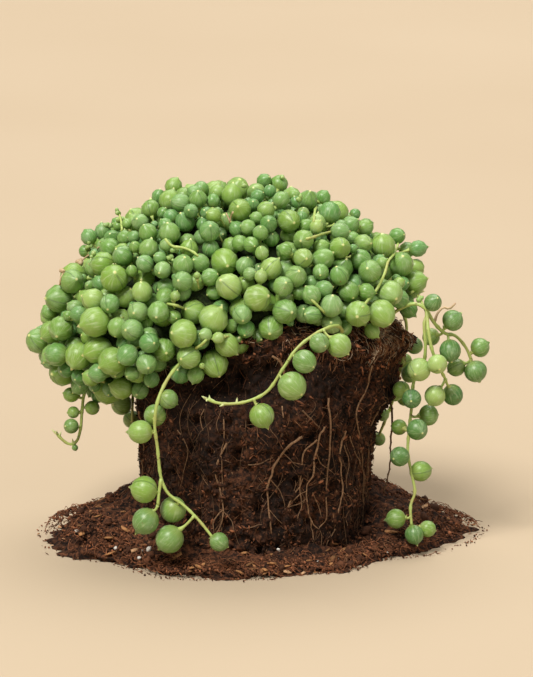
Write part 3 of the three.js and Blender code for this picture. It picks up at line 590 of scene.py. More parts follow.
def add_piece(name, surface, material, nodes):
    """Puts a surface into a smooth-shaded mesh in metres, hangs it on the root body, and hides the CAD parts
    that it stands for.
    """
    mesh = bpy.data.meshes.new(name)
    quads, tris = surface.quads, surface.tris
    mesh.vertices.add(len(surface.points))
    mesh.vertices.foreach_set("co", (surface.points * METRES).astype(np.float32).ravel())
    mesh.loops.add(quads.size + tris.size)
    mesh.loops.foreach_set("vertex_index", np.concatenate([quads.ravel(), tris.ravel()]).astype(np.int32))
    mesh.polygons.add(len(quads) + len(tris))
    sizes = np.concatenate([np.full(len(quads), 4), np.full(len(tris), 3)])
    starts = np.concatenate([[0], np.cumsum(sizes)[:-1]])
    mesh.polygons.foreach_set("loop_start", starts.astype(np.int32))
    mesh.polygons.foreach_set("use_smooth", np.ones(len(sizes), bool))
    for mark, values in (("tone", surface.tone), ("pale", surface.pale)):
        mesh.attributes.new(mark, "FLOAT", "POINT").data.foreach_set("value", values.astype(np.float32))
    place = mesh.attributes.new("place", "FLOAT_VECTOR", "POINT")
    place.data.foreach_set("vector", surface.place.astype(np.float32).ravel())
    mesh.update(calc_edges=True)
    if mesh.validate():
        raise RuntimeError(f"{name} has faces that a mesh can't hold")
    mesh.materials.append(material)
    piece = bpy.data.objects.new(name, mesh)
    bpy.context.scene.collection.objects.link(piece)
    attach(piece, "root")
    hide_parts(*nodes)


# Materials

PALE_SKIN = (0.5, 0.64, 0.24)
STREAK = (0.5, 0.62, 0.33)
# Olive colour of the painted shade at each pearl's foot, where it meets its stalk
FOOT_SHADE = (0.26, 0.33, 0.07)
SLIT = (0.05, 0.1, 0.03)
BROWN_SPECK = (0.2, 0.07, 0.02)
DRY_TIP = (0.66, 0.68, 0.28)
BLOOM = (0.5, 0.64, 0.42)
STEM_SCAR = (0.16, 0.08, 0.03)


def scaled(colour, factor):
    """A colour with each of its parts times a factor."""
    return tuple(factor * part for part in colour)


class Finish:
    """A node material with one main shader, and short ways to add what feeds it."""

    def __init__(self, name):
        self.material = bpy.data.materials.new(name)
        self.material.use_nodes = True
        self.tree = self.material.node_tree
        self.shader = self.tree.nodes["Principled BSDF"]

    def feed(self, socket, value):
        """Links an output to a socket, or sets the socket to a number or a colour."""
        if isinstance(value, bpy.types.NodeSocket):
            self.tree.links.new(value, socket)
        elif socket.type == "RGBA":
            socket.default_value = (*value[:3], 1)
        else:
            socket.default_value = value

    def node(self, kind, *values):
        """A node with its first inputs fed in order."""
        node = self.tree.nodes.new(kind)
        for socket, value in zip(node.inputs, values):
            self.feed(socket, value)
        return node

    def set(self, **values):
        """Feeds the shader's sockets by name."""
        for name, value in values.items():
            self.feed(self.shader.inputs[name.replace("_", " ")], value)

    def attribute(self, name, output="Fac"):
        """What a piece's points carry under a name."""
        node = self.node("ShaderNodeAttribute")
        node.attribute_name = name
        return node.outputs[output]

    def object_place(self):
        """The place on the piece, in metres."""
        return self.node("ShaderNodeTexCoord").outputs["Object"]

    def noise(self, vector, scale, detail, roughness=0.55):
        """Noise from 0 to 1 with so many cells a metre."""
        node = self.node("ShaderNodeTexNoise", vector)
        node.inputs["Scale"].default_value = scale
        node.inputs["Detail"].default_value = detail
        node.inputs["Roughness"].default_value = roughness
        return node.outputs["Fac"]

    def ramp(self, value, low, high, out_low=0.0, out_high=1.0):
        """A value eased from one range to another, as 3 s squared minus 2 s cubed."""
        node = self.node("ShaderNodeMapRange", value, low, high, out_low, out_high)
        node.interpolation_type = "SMOOTHSTEP"
        return node.outputs["Result"]

    def maths(self, operation, first, second=0.0):
        """One or two values put through an operation."""
        node = self.node("ShaderNodeMath", first, second)
        node.operation = operation
        return node.outputs[0]

    def mix(self, share, first, second):
        """A colour at a share of the way from the first to the second."""
        node = self.tree.nodes.new("ShaderNodeMix")
        node.data_type = "RGBA"
        for place, value in ((0, share), (6, first), (7, second)):
            self.feed(node.inputs[place], value)
        return node.outputs[2]

    def laid(self, under, over, value, low, high, most=1.0):
        """A colour with another laid over it, none where the value is low and the most where it is high."""
        return self.mix(self.ramp(value, low, high, 0.0, most), under, over)

    def bump(self, height, strength, distance):
        """Fine relief in the shader's normal, this strong and this deep in metres."""
        node = self.tree.nodes.new("ShaderNodeBump")
        node.inputs["Strength"].default_value = strength
        node.inputs["Distance"].default_value = distance
        self.feed(node.inputs["Height"], height)
        self.feed(self.shader.inputs["Normal"], node.outputs["Normal"])


def pearl_finish(name, ripe, young):
    """Waxy green skin: its tone runs from ripe to young, with fine streaks from foot to tip, a dark slit on
    one side, a pale dry tip, a light bloom, a few brown specks, and painted shade, olive and darker, towards
    the foot where the pearl meets its stalk."""
    finish = Finish(name)
    tone = finish.attribute("tone")
    x, y, z = finish.node("ShaderNodeSeparateXYZ", finish.attribute("place", "Vector")).outputs
    spot = finish.object_place()
    colour = finish.laid(ripe, young, tone, 0.1, 0.9)
    colour = finish.mix(finish.maths("MULTIPLY", finish.attribute("pale"), 0.5), colour, PALE_SKIN)
    colour = finish.laid(colour, scaled(ripe, 0.55), finish.noise(spot, 90.0, 2.0), 0.45, 0.7, 0.28)
    around = finish.maths("MULTIPLY", finish.maths("ARCTAN2", y, x), 3.0)
    up, own = finish.maths("MULTIPLY", z, 0.5), finish.maths("MULTIPLY", tone, 40.0)
    streaks = finish.noise(finish.node("ShaderNodeCombineXYZ", around, up, own).outputs[0], 2.6, 3.0)
    colour = finish.laid(colour, STREAK, streaks, 0.5, 0.7, 0.42)
    # Painted shade: olive and darker towards the pearl's foot, where it meets its stalk
    colour = finish.laid(colour, FOOT_SHADE, z, -0.4, -0.95, 0.5)
    off = finish.maths("ABSOLUTE", y)
    slit = finish.maths("MULTIPLY", finish.ramp(off, 0.07, 0.035), finish.ramp(x, 0.05, 0.3))
    colour = finish.mix(finish.maths("MULTIPLY", slit, 0.55), colour, SLIT)
    colour = finish.laid(colour, BROWN_SPECK, finish.noise(spot, 900.0, 1.0), 0.77, 0.8, 0.7)
    colour = finish.laid(colour, DRY_TIP, z, 1.03, 1.1)
    bloom = finish.noise(spot, 330.0, 5.0, 0.7)
    colour = finish.laid(colour, BLOOM, bloom, 0.45, 0.72, 0.28)
    finish.set(Base_Color=colour, Roughness=finish.ramp(bloom, 0.3, 0.8, 0.34, 0.5))
    finish.set(IOR=1.45, Subsurface_Weight=0.12, Subsurface_Radius=(0.6, 1.0, 0.25), Subsurface_Scale=0.0018)
    finish.set(Coat_Weight=0.1, Coat_Roughness=0.25)
    finish.bump(finish.noise(spot, 1500.0, 2.0), 0.08, 0.0002)
    return finish.material


def stem_finish(name, green, old):
    """Pale yellow-green stem with tan knots and brown scars."""
    finish = Finish(name)
    spot = finish.object_place()
    colour = finish.laid(green, old, finish.noise(spot, 160.0, 3.0), 0.42, 0.68, 0.4)
    colour = finish.laid(colour, STEM_SCAR, finish.noise(spot, 700.0, 3.0), 0.62, 0.74, 0.8)
    finish.set(Base_Color=colour, Roughness=0.5, Subsurface_Weight=0.1, Subsurface_Scale=0.001)
    finish.set(Subsurface_Radius=(0.6, 0.6, 0.25))
    finish.bump(finish.noise(spot, 1600.0, 3.0), 0.25, 0.0003)
    return finish.material


def soil_finish(name, dark, light, fleck):
    """Matt peat and coir: two scales of dark and light, broad darker patches that are partly wet patches and
    partly painted shade standing for pits, darker where the tone is high, and tan flecks of fibre."""
    finish = Finish(name)
    spot = finish.object_place()
    fine = finish.noise(spot, 620.0, 5.0, 0.7)
    colour = finish.laid(dark, light, fine, 0.4, 0.66)
    # Broad darker patches: partly wet patches, partly painted shade standing for pits
    colour = finish.laid(colour, scaled(dark, 0.6), finish.noise(spot, 70.0, 3.0), 0.42, 0.62, 0.5)
    # Darker where the tone is high: wet patches, and on the root ball placed painted shade, less where light
    # is painted
    colour = finish.mix(finish.maths("MULTIPLY", finish.attribute("tone"), 0.75), colour, dark)
    upright = finish.node("ShaderNodeVectorMath", spot, (1.0, 1.0, 0.35))
    upright.operation = "MULTIPLY"
    flecks = finish.noise(upright.outputs[0], 1500.0, 2.0)
    colour = finish.laid(colour, fleck, flecks, 0.66, 0.76, 0.7)
    finish.set(Base_Color=colour, Roughness=0.93, Specular_IOR_Level=0.25)
    finish.bump(fine, 0.7, 0.0006)
    return finish.material


def fibre_finish(name, dark, light, pale):
    """Fibres, chips and crumbs, each with its own tone from dark to light, and pale at the very top."""
    finish = Finish(name)
    tone = finish.attribute("tone")
    grain = finish.noise(finish.object_place(), 1300.0, 4.0, 0.65)
    colour = finish.laid(dark, light, tone, 0.0, 0.8)
    colour = finish.laid(colour, pale, tone, 0.82, 0.98)
    colour = finish.laid(colour, scaled(dark, 0.4), grain, 0.4, 0.66, 0.6)
    finish.set(Base_Color=colour, Roughness=0.88, Specular_IOR_Level=0.3)
    finish.bump(grain, 0.5, 0.0004)
    return finish.material


# Settings

def colour_setting(name, description, default):
    """A property for a colour."""
    return FloatVectorProperty(name=name, description=description, default=default, subtype="COLOR",
                               min=0, max=1)


class PLANT_PG_pearls(bpy.types.PropertyGroup):
    """Sizes and colours of the round leaves and their stems."""

    ripe_colour: colour_setting("Ripe pearls", "Colour of the full-grown leaves", (0.215, 0.375, 0.055))
    young_colour: colour_setting("Young pearls", "Colour of the young leaves", (0.1, 0.275, 0.07))
    stem_colour: colour_setting("Stems", "Colour of the thin living stems", (0.42, 0.54, 0.15))
    dry_colour: colour_setting("Dry bits", "Colour of stem scars and dried leaf bits", (0.4, 0.26, 0.1))
    largest: FloatProperty(name="Largest pearl", description="Radius of the crown's largest pearls, in mm",
                           default=4.7, min=3, max=6)
    smallest: FloatProperty(name="Smallest pearl", description="Radius of the crown's least pearls, in mm",
                            default=2.1, min=1, max=3)


class PLANT_PG_soil(bpy.types.PropertyGroup):
    """Colours and fineness of the soil, its fibres and the roots."""

    dark_colour: colour_setting("Dark soil", "Darkest colour of the soil", (0.008, 0.004, 0.0026))
    light_colour: colour_setting("Light soil", "Lightest colour of the soil", (0.135, 0.05, 0.022))
    fibre_colour: colour_setting("Fibres", "Colour of the palest coir fibres", (0.3, 0.16, 0.08))
    root_colour: colour_setting("Roots", "Colour of the roots on the root ball", (0.36, 0.205, 0.11))
    bark_colour: colour_setting("Bark chips", "Colour of the bark in the loose soil", (0.5, 0.24, 0.095))
    roughness: FloatProperty(name="Crumble", description="How far the soil's surface crumbles, in mm",
                             default=1.0, min=0, max=2)
    fibres: IntProperty(name="Fibres", description="Number of fibres on the root ball's wall",
                        default=2600, min=0, max=4000)


class PLANT_PG_stage(bpy.types.PropertyGroup):
    """Floor, light and camera."""

    floor_colour: colour_setting("Floor", "Colour of the plain floor", (0.489, 0.391, 0.277))
    floor_radius: FloatProperty(name="Floor radius", description="Radius of the plain floor", default=9,
                                unit="LENGTH", min=1)
    distance: FloatProperty(name="Camera distance", description="Distance from the camera to the plant",
                            default=CAMERA_DISTANCE * METRES, unit="LENGTH", min=0.3)
    lens: FloatProperty(name="Lens", description="Focal length of the camera", default=254, unit="CAMERA",
                        min=20)
    elevation: FloatProperty(name="Elevation", description="Angle of the camera above level, in degrees",
                             default=CAMERA_ELEVATION)


# Root ball, roots and loose soil

BALL_SEED = 5
ROOT_SEED = 71
HEAP_SEED = 9
BALL_STEPS = 430
BALL_STATIONS = 130
TOP_RINGS = 26
HEAP_STEPS = 420
HEAP_RINGS = 72

# The least height of the soil's surface, and the wall's mean radius and the rim's, which turn lengths along
# the wall into angles
LOWEST = 0.2
MEAN_RADIUS = 38
RIM_RADIUS = 42

# How far a splinter, a strip and a chip reach along their three axes
SPLINTER = np.array([2.1, 0.62, 0.62])
STRIP = np.array([3.4, 0.6, 0.4])
CHIP = np.array([1.7, 0.8, 0.26])

# How many there are of each
WALL_SHARDS = 7900
RIM_SHARDS = 2200
LIP_SHARDS = 1000
MAT_FIBRES = 460
LIP_FIBRES = 950
LIP_TUFTS = 100
FRINGE_FIBRES = 80
HAIR_ROOTS = 60
FINE_ROOTS = 170
GRAINS = 7100
STRIPS = 900
CLODS = 60
THREADS = 900
BARK_CHIPS = 110
PERLITE_GRAINS = 13

# Noise, each wave as (reach, cell, seed)
DAMP_WAVES = ((1, 10.0, 51), (0.6, 4.5, 52))
CRUMBLE_WAVES = ((0.8, 7.0, 11), (0.9, (2.6, 2.6, 3.2), 12), (0.85, 1.2, 13))
PIT_CELL = (3.0, 3.0, 4.6)
PIT_SEED = 14
HEAP_EDGE_WAVES = ((4.2, 9.0, 24), (3.0, 3.6, 25), (1.6, 1.6, 26))
HEAP_TOP_WAVES = ((1.3, 6.5, 21), (1.0, 2.4, 22), (0.55, 1.1, 23))

# Colours of the fibres and grains, beside those in the settings
COIR = (0.4, 0.19, 0.09)
PALE_COIR = (0.72, 0.57, 0.42)
PALE_PEAT = (0.5, 0.23, 0.1)
PALE_ROOT = (0.55, 0.38, 0.22)
PALE_BARK = (0.6, 0.36, 0.2)
PERLITE = ((0.6, 0.57, 0.5), (0.85, 0.83, 0.78), (0.9, 0.9, 0.88))


def ball_surface(crumble):
    """The root ball: rings up the wall and over the mounded top, pushed out and in by noise of four sizes,
    the more so near the rim."""
    azimuth = np.linspace(0, 360, BALL_STEPS, endpoint=False)[None, :]
    under = np.linspace(0.15, 1, 5)[:, None]
    heights = np.linspace(0.6, BALL_TOP, BALL_STATIONS)[:, None]
    inward = np.linspace(0.985, 0.06, TOP_RINGS)[:, None]
    flat = round_place(azimuth, under * wall_radius(azimuth, 0.0), np.zeros_like(under))
    wall = wall_place(azimuth, heights, crumble)
    wall[..., 2] = np.maximum(wall[..., 2], LOWEST)
    rings = np.concatenate([flat, wall, top_place(azimuth, inward, crumble)])
    surface = polar_surface(rings, [[0, 0, 0]], [[0, 0, BALL_TOP + BALL_MOUND]])
    surface.tone = damp_shade_and_light(surface.points)
    return surface


def damp_shade_and_light(points):
    """How dark the root ball's soil is made, from 0 to 1: wet patches where broad noise is high, and placed
    spots that raise or lower it, among them painted shade in the hollow under the crown's hem and painted
    light on the lip.
    """
    patches = eased((swells(points, DAMP_WAVES) + 0.15) / 0.8)
    placed = sum(dent(place, azimuth_of(points), points[..., 2]) for place in PAINTED_SHADE_AND_LIGHT)
    return np.clip(0.33 + 0.6 * patches + placed, 0, 1)


def plain_wall(azimuth, height):
    """Points on the wall as it is before it crumbles, with the rim in front lifted."""
    return round_place(azimuth, wall_radius(azimuth, height), raised(azimuth, height))


def wall_place(azimuth, height, crumble, off=0.0):
    """Points on or off the crumbled wall: the crumble grows by bells near the rim and the lip."""
    outward = round_place(azimuth, np.ones_like(height), 0.0)
    near_lip = bell(height - LIP["height"], 7) * bell(turn_from(LIP["azimuth"], azimuth), 55)
    amount = crumble * (1 + 0.6 * bell(height - BALL_TOP, 6) + 1.1 * near_lip)
    off = np.asarray(off, float)[..., None]
    return crumbled(plain_wall(azimuth, height), outward, amount) + outward * off


def top_height(azimuth, inward):
    """The height of the soil's top at a share of the way out: the mound, the lifted rim, and a shoulder."""
    shoulder = SHOULDER["reach"] * bell(inward - SHOULDER["share"], SHOULDER["width"])
    shoulder = shoulder * bell(turn_from(RIM_RISE["azimuth"], azimuth), RIM_RISE["spread"])
    return between(BALL_TOP + BALL_MOUND, raised(azimuth, soil_top(inward, azimuth)), inward ** 2) + shoulder


def top_place(azimuth, inward, crumble, off=0.0):
    """Points on the crumbled top, or above it by so much, with more crumble towards the rim."""
    plain = round_place(azimuth, inward * wall_radius(azimuth, float(BALL_TOP)), top_height(azimuth, inward))
    upward = np.broadcast_to([0.0, 0.0, 1.0], plain.shape)
    amount = crumble * (1 + 0.8 * eased((inward - 0.55) / 0.3)) * np.ones(plain.shape[:-1])
    return crumbled(plain, upward, amount) + upward * np.asarray(off, float)[..., None]


def crumbled(points, outward, amount):
    """Points moved outwards by noise: swells, lumps, grains, and narrow pits where the noise is high."""
    pits = np.maximum(lumps(points, PIT_CELL, PIT_SEED) - 0.15, 0)
    return points + outward * (amount * (swells(points, CRUMBLE_WAVES) - 5.0 * pits - 0.1))[..., None]


def along_wall(azimuth, height, crumble, off):
    """Paths that lie off the wall by so much, at the mean of the crumbled wall along their length, so that
    they bridge its pits."""
    plain = plain_wall(azimuth, height)
    follow = (wall_place(azimuth, height, crumble) - plain).mean(axis=1, keepdims=True)
    return plain + follow + round_place(azimuth, off, 0.0)


def along_ground(start, way, reach, sway):
    """Azimuths and radii of lines on the ground: so far from a start along a way, and so far across it."""
    x = start[..., 0] + reach * np.cos(way) - sway * np.sin(way)
    y = start[..., 1] + reach * np.sin(way) + sway * np.cos(way)
    return np.degrees(np.arctan2(y, x)), np.hypot(x, y)


def wall_threads(rng, count, length, radius, lift, steep, crumble, stations, heights=(1.5, 64)):
    """Paths and radii of threads on the wall: each starts at a random azimuth and height and goes on at its
    own slope, swaying by a sine, with its lift off the wall changing by another, and thins towards its
    ends."""
    one = (count, 1)
    azimuth, height = rng.uniform(0, 360, one), rng.uniform(*heights, one)
    reach = rng.uniform(*length, one)
    slope = rng.normal(90, steep, one) * np.pi / 180
    t = np.linspace(-0.5, 0.5, stations)[None, :]
    sway = rng.uniform(-0.16, 0.16, one) * reach
    sway = sway * np.sin(t * rng.uniform(3, 9, one) + rng.uniform(0, 6, one))
    high = np.clip(height + reach * t * np.sin(slope) + sway * np.cos(slope), 0.6, 66)
    turn = (reach * t * np.cos(slope) + sway * np.sin(slope)) / MEAN_RADIUS * 180 / np.pi
    off = rng.uniform(*lift, one) + 0.5 * np.sin(t * 5 + rng.uniform(0, 6, one))
    thick = rng.uniform(*radius, one) * (1 - 0.6 * (2 * t) ** 2)
    return along_wall(azimuth + turn, high, crumble, off), thick


def crumb_radii(azimuth, share):
    """The radius at a share of the way from the wall's foot to the ragged outer edge of the loose soil."""
    a = np.radians(azimuth)
    inner = wall_radius(azimuth, 0.0) - CRUMB_TUCK
    outer = round_stations(CRUMB_REACH, azimuth) + 1.6 * np.sin(6 * a + 0.4) + 1.1 * np.sin(11 * a)
    return between(inner, outer, share)


def crumb_height(azimuth, share):
    """The heap's height: a straight-line slope outwards, times a heap that varies round it and two waves."""
    a = np.radians(azimuth)
    slope = np.array(CRUMB_SLOPE)
    uneven = 0.22 * np.sin(5 * a + 4 * share) + 0.12 * np.sin(9 * a - 7 * share)
    return np.interp(share, slope[:, 0], slope[:, 1]) * (1 + uneven) * round_stations(CRUMB_HEAP, azimuth)


def loose_surface():
    """The heap as a ring: its top falls from wall to edge with noise on it, its underside is flat."""
    azimuth = np.linspace(0, 360, HEAP_STEPS, endpoint=False)[None, :]
    over = np.linspace(0, 1, HEAP_RINGS)[:, None]
    back = np.linspace(1, 0, 5)[:, None]
    flat = round_place(azimuth, crumb_radii(azimuth, over), np.zeros_like(over))
    ragged = swells(flat, HEAP_EDGE_WAVES) - 2.2
    reach = np.minimum(crumb_radii(azimuth, over) + ragged * eased((over - 0.4) / 0.6), CRUMB_LIMIT)
    top = round_place(azimuth, reach, crumb_height(azimuth, over) * (1 - over ** 6) + 0.35)
    top[..., 2] = np.maximum(top[..., 2] + swells(top, HEAP_TOP_WAVES) * (1 - over ** 4), LOWEST)
    under = round_place(azimuth, between(reach[:1], reach[-1:], back), np.zeros_like(back))
    rings = np.concatenate([top, under])
    at = np.arange(rings[..., 0].size).reshape(rings.shape[:2])
    after, above = np.roll(at, -1, axis=1), np.roll(at, -1, axis=0)
    quads = np.stack([at, after, np.roll(above, -1, axis=1), above], axis=-1)
    return Surface(rings, quads, np.zeros((0, 3), int), 0.0).outward()


def random_turns(rng, count):
    """Random turns as matrices, each from a quaternion of four normal numbers divided by their length."""
    q = unit(rng.normal(size=(count, 4)))
    w, x, y, z = q.T
    rows = [[1 - 2 * (y * y + z * z), 2 * (x * y - z * w), 2 * (x * z + y * w)],
            [2 * (x * y + z * w), 1 - 2 * (x * x + z * z), 2 * (y * z - x * w)],
            [2 * (x * z - y * w), 2 * (y * z + x * w), 1 - 2 * (x * x + y * y)]]
    return np.moveaxis(np.array(rows), -1, 0)


GRAIN = round_template(5, (60, 120))
SHARD = round_template(4, (65, 118))
CLOD = round_template(9, (30, 60, 90, 120, 150))


def crumbs(rng, centres, sizes, tone, flat=None, template=GRAIN):
    """Small rough lumps: balls whose points are pushed in and out at random, stretched along three axes and
    turned at random, or kept nearly flat."""
    count = len(centres)
    uneven = rng.uniform(0.62, 1.15, (count, len(template.points), 1))
    points = template.points[None] * uneven * sizes[:, None, :]
    turns = random_turns(rng, count)
    if flat is not None:
        lean = rng.normal(0, flat, (count, 2))
        normal = np.stack([lean[:, 0], lean[:, 1], np.ones(count)], axis=-1)
        turns = frames_on(normal, rng.uniform(0, 6.3, count))
    points = np.einsum("nij,nkj->nki", turns, points)
    lowest = (points[..., 2] + centres[:, None, 2]).min(axis=1)
    lifted = centres + np.maximum(0.02 - lowest, 0)[:, None] * np.array([0, 0, 1.0])
    return repeated(template, points, lifted, tone)


class PLANT_OT_root_ball(bpy.types.Operator):
    """Build the root ball with its fibres, its splinters of peat and its matted lip"""

    bl_idname = "plant.root_ball"
    bl_label = "Root ball"

    def execute(self, context):
        soil = context.scene.plant_soil
        crumble = soil.roughness
        dark, light, pale = tuple(soil.dark_colour), tuple(soil.light_colour), tuple(soil.fibre_colour)
        rng = np.random.default_rng(BALL_SEED)
        fibres = joined([self.coir(rng, soil.fibres, crumble), self.lip_fibres(rng, crumble),
                         self.fringe(rng), self.rim_mat(rng, crumble)])
        for name, surface, finish in (
            # The ball's finish darkens with its tone: wet patches and painted shade, and less where light is
            # painted
            ("soil_ball", ball_surface(crumble), soil_finish("damp peat", dark, light, pale)),
            ("ball_fibres", fibres, fibre_finish("coir fibre", scaled(light, 0.8), COIR, PALE_COIR)),
            ("ball_shards", self.shards(rng, crumble),
             fibre_finish("peat shards", scaled(light, 0.2), scaled(light, 3.0), PALE_PEAT)),
        ):
            add_piece(name, surface, finish, ["root_ball"])
        return {"FINISHED"}

    def coir(self, rng, count, crumble):
        """Fibres all over the wall, mostly dark, darker where the ball is wet or has painted shade, and
        lighter where it has painted light.
        """
        paths, thick = wall_threads(rng, count, (1.2, 5), (0.04, 0.12), (-0.2, 0.7), 60, crumble, 5)
        return tubes(paths, thick, 3, rng.beta(1.3, 2.3, count) * (1 - 0.7 * damp_shade_and_light(paths.mean(axis=1))))

    def shards(self, rng, crumble):
        """Splinters of peat on the wall, the lip and the rim, paler near the rim, darker where the ball is
        wet or has painted shade, and lighter where it has painted light.
        """
        azimuth = np.concatenate([rng.uniform(0, 360, WALL_SHARDS), rng.normal(-14, 26, LIP_SHARDS)])
        height = np.concatenate([rng.uniform(1, 65.5, WALL_SHARDS), rng.uniform(56, 66.5, LIP_SHARDS)])
        on_wall = wall_place(azimuth, height, crumble, rng.uniform(-0.2, 0.45, len(height)))
        azimuth, inward = rng.uniform(0, 360, RIM_SHARDS), rng.uniform(0.7, 1, RIM_SHARDS)
        on_rim = top_place(azimuth, inward, crumble, rng.uniform(-0.2, 0.6, RIM_SHARDS))
        centres = np.vstack([on_wall, on_rim])
        count = len(centres)
        sizes = rng.uniform(0.25, 1.05, (count, 1)) * rng.uniform(0.3, 1, (count, 3)) * SPLINTER
        dry = eased((centres[:, 2] - 58) / 8)
        tone = rng.beta(0.6, 1.5 - 0.6 * dry) * (1 - 0.85 * damp_shade_and_light(centres))
        return crumbs(rng, centres, sizes, tone, template=SHARD)

    def rim_mat(self, rng, crumble):
        """Pale fibres that lie on the rim in front and at the right, nearly half of them in one mat: each a
        line on the ground with a sway, at the mean height of the soil under it."""
        one = (MAT_FIBRES, 1)
        matted = rng.uniform(size=one) < 0.45
        azimuth = np.where(matted, rng.normal(-21, 7, one), rng.uniform(-115, 15, one))
        inward = np.where(matted, rng.uniform(0.92, 1.02, one), rng.uniform(0.82, 1.0, one))
        t = np.linspace(-0.5, 0.5, 7)[None, :]
        reach, way = rng.uniform(2, 7, one), rng.uniform(0, 2 * np.pi, one)
        sway = 0.8 * np.sin(t * rng.uniform(3, 9, one) + way)
        start = round_place(azimuth, inward * wall_radius(azimuth, float(BALL_TOP)), 0.0)
        turned, out = along_ground(start, way, reach * t, sway)
        out = np.minimum(out / wall_radius(turned, float(BALL_TOP)), 1.02)
        plain = top_place(turned, out, 0.0)
        paths = plain + (top_place(turned, out, crumble) - plain).mean(axis=1, keepdims=True)
        paths[..., 2] += rng.uniform(0, 1.1, one)
        radius = (rng.uniform(0.05, 0.12, one) + 0.05 * matted) * (1 - 0.5 * (2 * t) ** 2)
        tone = np.where(matted, rng.uniform(0.78, 1, one), rng.uniform(0.2, 1, one))
        return tubes(paths, radius, 3, tone[:, 0])

    def lip_fibres(self, rng, crumble):
        """Fine pale fibres that mat the rim in tufts, most of them on the lip at the right: a tuft has a
        place, a slope and a tone, and each of its fibres strays a little from them. Their tones run lighter
        than the wall's fibres, partly pale fibre and partly painted light on the lip."""
        tufts, one = LIP_TUFTS, (LIP_FIBRES, 1)
        tuft = rng.integers(0, tufts, LIP_FIBRES)
        on_lip = rng.uniform(size=tufts) < 0.7
        middle = np.where(on_lip, rng.normal(-14, 22, tufts), rng.uniform(0, 360, tufts))
        azimuth = middle[tuft, None] + rng.normal(0, 2.6, one)
        height = rng.uniform(59, 67, tufts)[tuft, None] + rng.normal(0, 1.1, one)
        slope = rng.normal(0, 1, tufts)[tuft, None] + rng.normal(0, 0.5, one)
        t = np.linspace(-0.5, 0.5, 7)[None, :]
        reach = rng.uniform(1.2, 5, one)
        sway = 0.9 * np.sin(t * rng.uniform(3, 10, one) + rng.uniform(0, 6, one))
        turned = azimuth + reach * t * np.cos(slope) / RIM_RADIUS * 180 / np.pi
        high = np.clip(height + reach * t * np.sin(slope) + sway, 40, 67)
        off = rng.uniform(0.0, 1.0, one) + 0.5 * np.sin(t * 6 + rng.uniform(0, 6, one))
        radius = rng.uniform(0.05, 0.12, one) * (1 - 0.5 * (2 * t) ** 2)
        # Light tones: partly pale fibre, partly painted light on the lip
        tone = np.clip(rng.uniform(0.4, 1.1, tufts)[tuft] + rng.normal(0, 0.15, LIP_FIBRES), 0, 1)
        return tubes(along_wall(turned, high, crumble, off), radius, 3, tone)

    def fringe(self, rng):
        """Fine fibres that hang from the lip's edge: each falls with a sway, and leans in as it falls."""
        one = (FRINGE_FIBRES, 1)
        azimuth = rng.normal(LIP["azimuth"], 26, one)
        t = np.linspace(0, 1, 6)[None, :]
        fall = rng.uniform(2, 8, one)
        edge = wall_radius(azimuth, LIP["height"]) - rng.uniform(0, 1.4, one)
        sway = rng.uniform(-2, 2, one) * np.sin(t * rng.uniform(1, 4, one))
        lean = rng.uniform(0, 0.35, one)
        height = raised(azimuth, LIP["height"]) - fall * t
        paths = round_place(azimuth + sway, edge - lean * fall * t, height)
        radius = rng.uniform(0.05, 0.11, one) * (1 - 0.6 * t)
        return tubes(paths, radius, 3, rng.uniform(0.1, 0.8, FRINGE_FIBRES))


def wandering_route(azimuth, rng):
    """A root's route of [azimuth, height] down the wall: six even steps, swaying by a sine."""
    top, bottom = 50 - 12 * rng.uniform(), 8 + 6 * rng.uniform()
    sway, phase = 4 + 4 * rng.uniform(), 6 * rng.uniform()
    return [[azimuth + sway * np.sin(phase + 0.7 * i), between(top, bottom, i / 5)] for i in range(6)]


def wall_route(route, count, lift):
    """A route of [azimuth, height] as a smooth path that lies on the root ball's wall."""
    smooth = smooth_route([[a, h, 0] for a, h in route], count)
    return round_place(smooth[:, 0], wall_radius(smooth[:, 0], smooth[:, 1]) + lift, smooth[:, 1])


